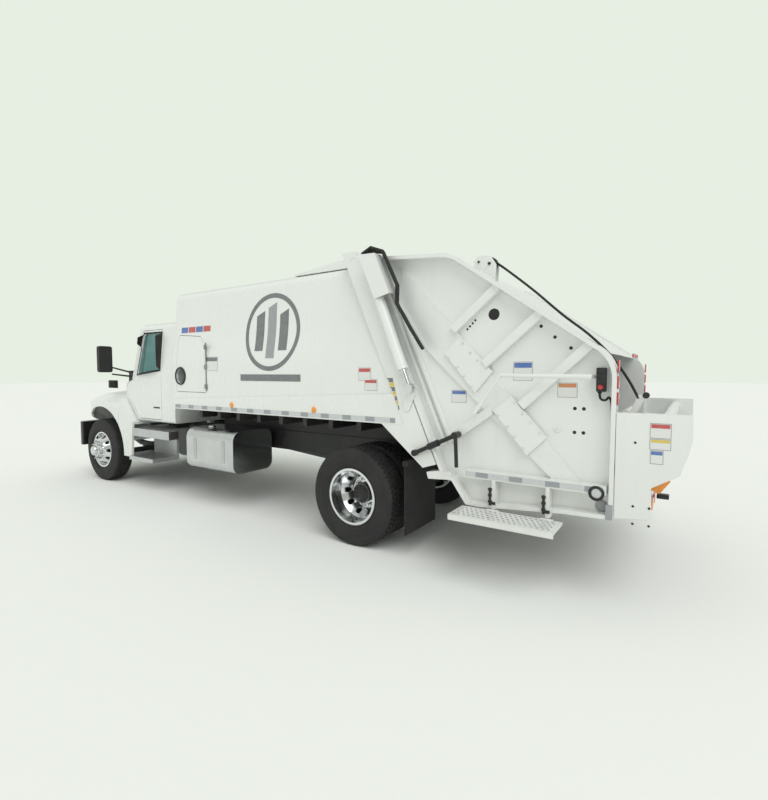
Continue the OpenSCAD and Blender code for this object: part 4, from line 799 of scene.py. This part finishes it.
# ---- Tailgate fittings ----
plate_y = 1.098  # outer face of the tailgate's side plates
# The holes below are black discs laid on the plates: their black is painted shade inside the open holes.
holes = Build()
bolts = Build()
for x, z, r in ((-2.871, 2.195, 0.010), (-2.896, 2.220, 0.010), (-2.921, 2.245, 0.010),
                (-2.946, 2.270, 0.010),
                (-3.523, 2.187, 0.014), (-3.635, 2.094, 0.014), (-3.760, 2.003, 0.014),
                (-3.799, 1.524, 0.014),
                (-3.866, 1.524, 0.014), (-3.799, 1.334, 0.014), (-3.866, 1.334, 0.014)):
    holes.cyl((x, plate_y - 0.001, z), (0, 1, 0), r, 0.0022, 20)
holes.cyl((-3.118, plate_y - 0.001, 2.311), (0, 1, 0), 0.050, 0.002, 32)
for x, z in ((-4.24, 1.30), (-4.235, 0.83), (-4.235, 0.70), (-4.34, 0.83), (-4.34, 0.70)):
    holes.cyl((x, 1.1895, z), (0, 1, 0), 0.009, 0.002, 16)
# Bolts round the two track covers and the disc between the ribs
for corners in (((-2.812, 2.123), (-3.128, 1.814), (-2.969, 1.631), (-2.665, 1.985)),
                ((-3.292, 1.614), (-3.594, 1.277), (-3.435, 1.119), (-3.132, 1.485))):
    mid = sum((Vector(c) for c in corners), Vector((0, 0))) / 4
    for a, b in ((0, 1), (2, 3)):
        for t in (0.10, 0.37, 0.63, 0.90):
            p = Vector(corners[a]).lerp(Vector(corners[b]), t)
            p += (mid - p).normalized() * 0.022
            bolts.cyl((p.x, 1.150, p.y), (0, 1, 0), 0.012, 0.003, 16)
            bolts.cyl((p.x, 1.153, p.y), (0, 1, 0), 0.009, 0.006, 6)
bolts.cyl((-3.669, plate_y, 1.358), (0, 1, 0), 0.034, 0.005, 28, round_by=0.0015)
bolts.cyl((-3.669, plate_y + 0.005, 1.358), (0, 1, 0), 0.008, 0.008, 6)
holes.mirrored().done("tailgate_holes", black_paint, "tailgate", "black_steel")
bolts.mirrored().done("tailgate_bolts", gate_white, "tailgate", "white_paint")

# Control station on the left with its lead
station = Build()
station.box((-4.032, 1.119, 1.664), (-3.962, 1.172, 1.846), 0.006)
station.box((-4.026, 1.170, 1.672), (-3.968, 1.178, 1.838), 0.002)
for k in range(3):
    station.cyl((-3.997, 1.178, 1.815 - 0.034 * k), (0, 1, 0), 0.012, 0.009, 20, round_by=0.002)
station.done("control_station", moulded, "tailgate", "black_plastic")
stop = Build()
stop.cyl((-3.997, 1.178, 1.700), (0, 1, 0), 0.009, 0.010, 20)
stop.cyl((-3.997, 1.186, 1.700), (0, 1, 0), 0.019, 0.012, 24, r2=0.017, round_by=0.003)
stop.done("stop_button", red_lens, "tailgate")
lead = Build()
lead.pipe([(-3.985, 1.145, 1.668), (-3.986, 1.147, 1.640), (-3.992, 1.149, 1.614), (-4.010, 1.150, 1.600),
           (-4.032, 1.149, 1.603), (-4.050, 1.146, 1.622), (-4.064, 1.140, 1.600), (-4.070, 1.128, 1.560),
           (-4.072, 1.112, 1.500), (-4.072, 1.100, 1.440)], 0.009, 10)
lead.cyl((-3.985, 1.145, 1.650), (0, 0, 1), 0.015, 0.022, 16, round_by=0.003)
# Lead for the lamps, clipped along the slope's flange
lead.pipe([(-3.06, 0.955, 2.800), (-3.20, 0.955, 2.690), (-3.42, 0.955, 2.505), (-3.66, 0.955, 2.285),
           (-3.86, 0.955, 2.120),
           (-4.02, 0.955, 1.955), (-4.15, 0.960, 1.770), (-4.235, 0.965, 1.610)], 0.010, 10)
lead.done("tailgate_leads", soft_black, "tailgate", "black_rubber")

# Sheave bracket and the lever of the winch cable
winch = Build()
for y in (0.915, 0.985):
    winch.plate([(-2.890, 2.700), (-3.085, 2.610), (-3.095, 2.760), (-3.045, 2.838), (-2.930, 2.858),
                 (-2.885, 2.815)], y, y + 0.010)
winch.plate([(-4.160, 1.475), (-4.215, 1.475), (-4.285, 1.628), (-4.262, 1.642), (-4.235, 1.640)], 0.955,
            0.972)
winch.cyl((-4.150, 0.40, 1.500), (0, 1, 0), 0.028, 0.60, 24)
winch.done("winch_bracket", gate_white, "tailgate", "white_paint")
sheave = Build()
sheave.turned((-3.030, 0.930, 2.775), (0, 1, 0),
              [(0.012, 0), (0.060, 0), (0.060, 0.010), (0.042, 0.018), (0.042, 0.032),
                                                  (0.060, 0.040), (0.060, 0.050), (0.012, 0.050)], 32)
sheave.cyl((-3.030, 0.905, 2.775), (0, 1, 0), 0.013, 0.100, 16)
sheave.cyl((-2.930, 0.905, 2.800), (0, 1, 0), 0.010, 0.100, 16)
sheave.cyl((-4.285, 0.945, 1.636), (0, 1, 0), 0.024, 0.036, 20, round_by=0.004)
sheave.done("winch_sheave", black_paint, "tailgate", "black_steel")

# Lamps and reflectors
HOOK_Y = 0.985
ring = Build()
glow = Build()
red = Build()
grey_lens = Build()
orange = Build()
for s in (1, -1):
    out = (0, s, 0)
    ring.turned((-3.986, s * 1.189, 0.891), out,
                [(0.056, 0), (0.058, 0.012), (0.052, 0.018), (0.040, 0.014), (0.038, 0.006)], 40)
    glow.turned((-3.986, s * 1.189, 0.891), out,
                [(0.040, 0.004), (0.034, 0.012), (0.018, 0.016), (0, 0.017)], 40)
    grey_lens.turned((-4.009, s * 1.098, 0.777), out,
                     [(0.046, 0), (0.046, 0.008), (0.040, 0.012), (0, 0.013)], 40)
    grey_lens.box((-4.100, s * 1.192 - 0.003, 0.700), (-4.052, s * 1.192 + 0.003, 0.815), 0.0012)
    for z in (1.615, 1.735, 1.855):
        red.box((-4.119, s * 1.144 - 0.034, z - 0.048), (-4.108, s * 1.144 + 0.034, z + 0.048), 0.005)
    for k, y in enumerate((0.93, 0.72)):
        (red if k else orange).box((-4.352, s * y - 0.075, 0.772), (-4.338, s * y + 0.075, 0.842), 0.005)
    # Folding hook under the hopper's rear corner
    orange.plate([(-4.330, 0.925), (-4.392, 0.898), (-4.462, 1.000), (-4.452, 1.030), (-4.400, 1.012),
                  (-4.345, 0.990)],
                 s * HOOK_Y - 0.012, s * HOOK_Y + 0.012)
    ring.box((-4.455, s * HOOK_Y - 0.030, 0.868), (-4.375, s * HOOK_Y + 0.030, 0.900), 0.004)
for y in (-0.16, 0, 0.16):
    red.box((-4.118, y - 0.045, 1.945), (-4.106, y + 0.045, 1.983), 0.005)
ring.done("lamp_rims", black_paint, "tailgate", "black_steel")
glow.done("lamp_lenses", clear_lens, "tailgate")
red.done("tail_lamps", red_lens, "tailgate")
orange.done("amber_parts", amber, "tailgate")
grey_lens.done("side_reflectors", ink["mid"], "tailgate")

# Pressed grip holes of the folding steps, each a black disc of painted shade in a white rim, and the
# spring pins that hold them
for side, s in (("left", 1), ("right", -1)):
    lo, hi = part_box(f"{side}_side_step")
    grip = Build()
    rims = Build()
    for row in range(6):
        for k in range(19):
            x = lo.x + 0.045 + 0.043 * k + (0.0215 if row % 2 else 0)
            y = s * (abs(hi.y if s > 0 else lo.y) - 0.045 - 0.040 * row)
            if x > hi.x - 0.03:
                continue
            rims.turned((x, y, 0.6315), (0, 0, 1),
                        [(0.0155, 0), (0.0135, 0.003), (0.0115, 0.003), (0.0105, 0.0006)], 14)
            # Black disc: painted shade seen through the open hole.
            grip.cyl((x, y, 0.6312), (0, 0, 1), 0.0110, 0.0016, 12)
    rims.done(f"{side}_step_rims", gate_white, f"{side}_side_step", "white_paint")
    grip.done(f"{side}_step_holes", black_paint, f"{side}_side_step", "black_steel")
pins = Build()
for x in (-3.622, -3.167):
    pins.cyl((x + 0.030, 1.199, 0.668), (0, 0, 1), 0.011, 0.150, 16)
    for z in (0.690, 0.745, 0.795):
        pins.cyl((x + 0.030, 1.199, z), (0, 0, 1), 0.018, 0.020, 16, round_by=0.002)
    pins.box((x - 0.020, 1.1975, 0.675), (x + 0.024, 1.203, 0.700), 0.001)
pins.mirrored().done("step_pins", black_paint, "tailgate", "black_steel")


# ---- Cab details ----
SURROUND = 0.034  # width of the black strip round a door's glass
DOOR_OUTLINE = [(2.125, 1.850), (2.730, 1.780), (2.600, 2.395), (2.125, 2.395)]
for side, body in ((1, "left_door"), (-1, "right_door")):
    mid = Vector((sum(p[0] for p in DOOR_OUTLINE) / 4, sum(p[1] for p in DOOR_OUTLINE) / 4))
    outer = [Vector(p) + (Vector(p) - mid).normalized() * SURROUND for p in DOOR_OUTLINE]
    for i in range(4):
        j = (i + 1) % 4
        patch("black", body, cab_side, [DOOR_OUTLINE[i], DOOR_OUTLINE[j], outer[j], outer[i]], 0.0020, 12,
              1, only=side)
    handle = Build().box((2.120, side * 1.036, 1.262), (2.300, side * 1.062, 1.292), 0.008)
    handle.box((2.105, side * 1.030, 1.245), (2.325, side * 1.040, 1.310), 0.004)
    handle.done(f"{body}_handle", black_paint, body)
    lamp = Build().cyl((2.670, side * 1.034, 1.203), (0, side, 0), 0.020, 0.014, 24, 0.017)
    lamp.done(f"{body}_lamp", amber, body)

vent = Build()
for i in range(5):
    vent.box((3.240, 1.110, 1.563 + 0.022 * i), (3.500, 1.128, 1.575 + 0.022 * i), 0.003)
# The sheet behind the slats fills the vent's openings: its black is painted shade.
vent.box((3.230, 1.105, 1.553), (3.510, 1.112, 1.680), 0.003)
vent.mirrored().done("hood_side_vents", soft_black, "tilt_hood")


# ---- Body side details ----
port = Build().turned((1.400, 1.168, 1.759), (0, 1, 0),
                      [(0.118, 0.0), (0.125, 0.006), (0.122, 0.012), (0.108, 0.012),
                                                        (0.104, 0.004)], 56)
port.done("access_port_ring", tyre, "access_door", smooth=60)
latch = Build().box((0.812, 1.166, 1.560), (0.830, 1.180, 2.200), 0.004)
for z in (1.62, 1.88, 2.14):
    latch.box((0.800, 1.166, z - 0.03), (0.850, 1.186, z + 0.03), 0.004)
latch.done("access_door_latch_bar", worn, "truck")

marker = Build()
for x in (0.289, -1.10):
    marker.turned((x, 1.190, 1.400), (0, 1, 0),
                  [(0.0, 0.020), (0.020, 0.017), (0.030, 0.010), (0.036, 0.0)], 32)
marker.mirrored().done("body_side_markers", amber, "truck", smooth=60)


# ---- Tank details ----
band = Build()
for x in (0.47, 1.06):
    band.box((x - 0.030, 1.1995, 0.640), (x + 0.030, 1.2035, 0.930), 0.001)
band.done("fuel_tank_straps", alu, "truck")
ring = Build().turned((0.920, 1.030, 1.055), (0, 0, 1),
                      [(0.048, 0.0), (0.048, 0.012), (0.040, 0.016), (0.0, 0.016)], 36)
ring.done("fuel_filler_ring", worn, "truck")


# ---- Seats ----
BACK_LEAN = -0.19
PULL_IN = 0.10  # how much a cushion's sides pull in towards its middle
SEAM_AT, SEAM_WIDTH, SEAM_DEPTH = 0.42, 0.10, 0.008


def cushion(name, lo, hi, lean=0.0, crown=0.022):
    """A crowned cushion whose sides pull in between its corners, with two sewn channels across it."""
    bm = bmesh.new()
    bmesh.ops.create_cube(bm, size=2.0)
    bmesh.ops.subdivide_edges(bm, edges=bm.edges, cuts=11, use_grid_fill=True)
    half = (Vector(hi) - Vector(lo)) / 2
    middle = (Vector(hi) + Vector(lo)) / 2
    thin = min(range(3), key=lambda k: half[k])
    wide = [k for k in range(3) if k != thin]
    for v in bm.verts:
        u = v.co.copy()
        a, b = u[wide[0]], u[wide[1]]
        out = Vector()
        for k in range(3):
            others = [u[m] for m in range(3) if m != k]
            out[k] = half[k] * u[k] * math.sqrt(max(0.0, 1 - PULL_IN * (others[0] ** 2 + others[1] ** 2)))
        swell = crown * (1 - a * a) * (1 - b * b)
        channel = SEAM_DEPTH * max(0.0, 1 - abs(abs(b) - SEAM_AT) / SEAM_WIDTH) * (1 - a ** 6)
        out[thin] -= math.copysign(crown - swell + channel, u[thin]) * min(1.0, abs(u[thin]) * 1.2)
        v.co = out
    bmesh.ops.rotate(bm, verts=bm.verts, cent=(0, 0, 0), matrix=Matrix.Rotation(lean, 3, "Y"))
    bmesh.ops.translate(bm, verts=bm.verts, vec=middle)
    b = Build()
    b.bm.free()
    b.bm = bm
    obj = b.done(name, fabric, "truck", smooth=70)
    sub = obj.modifiers.new("soft", "SUBSURF")
    sub.levels = sub.render_levels = 1
    return obj


pads = []
for side, word in ((1, "driver"), (-1, "passenger")):
    lo_y, hi_y = sorted((side * 0.285, side * 0.755))
    pads.append(cushion(f"{word}_seat_cushion", (1.950, lo_y, 1.440), (2.435, hi_y, 1.555)))
    pads.append(cushion(f"{word}_seat_back", (1.915, lo_y + 0.01, 1.540), (2.045, hi_y - 0.01, 2.060),
                        BACK_LEAN))
    base = Build().box((1.960, side * 0.36 - 0.05, 1.118), (2.380, side * 0.68 + 0.05, 1.150), 0.006)
    base.box((2.020, min(side * 0.40, side * 0.64), 1.145), (2.340, max(side * 0.40, side * 0.64), 1.445),
             0.012)
    base.done(f"{word}_seat_base", moulded, "truck")

for pad in pads:
    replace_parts(pad, "seats")


# ---- The laid vinyl ----
finishes = {**ink, "tape": silver_tape, "black": soft_black}
for (colour, body), b in laid.items():
    b.done(f"{body}_{colour}_vinyl", finishes[colour], body, smooth=60)
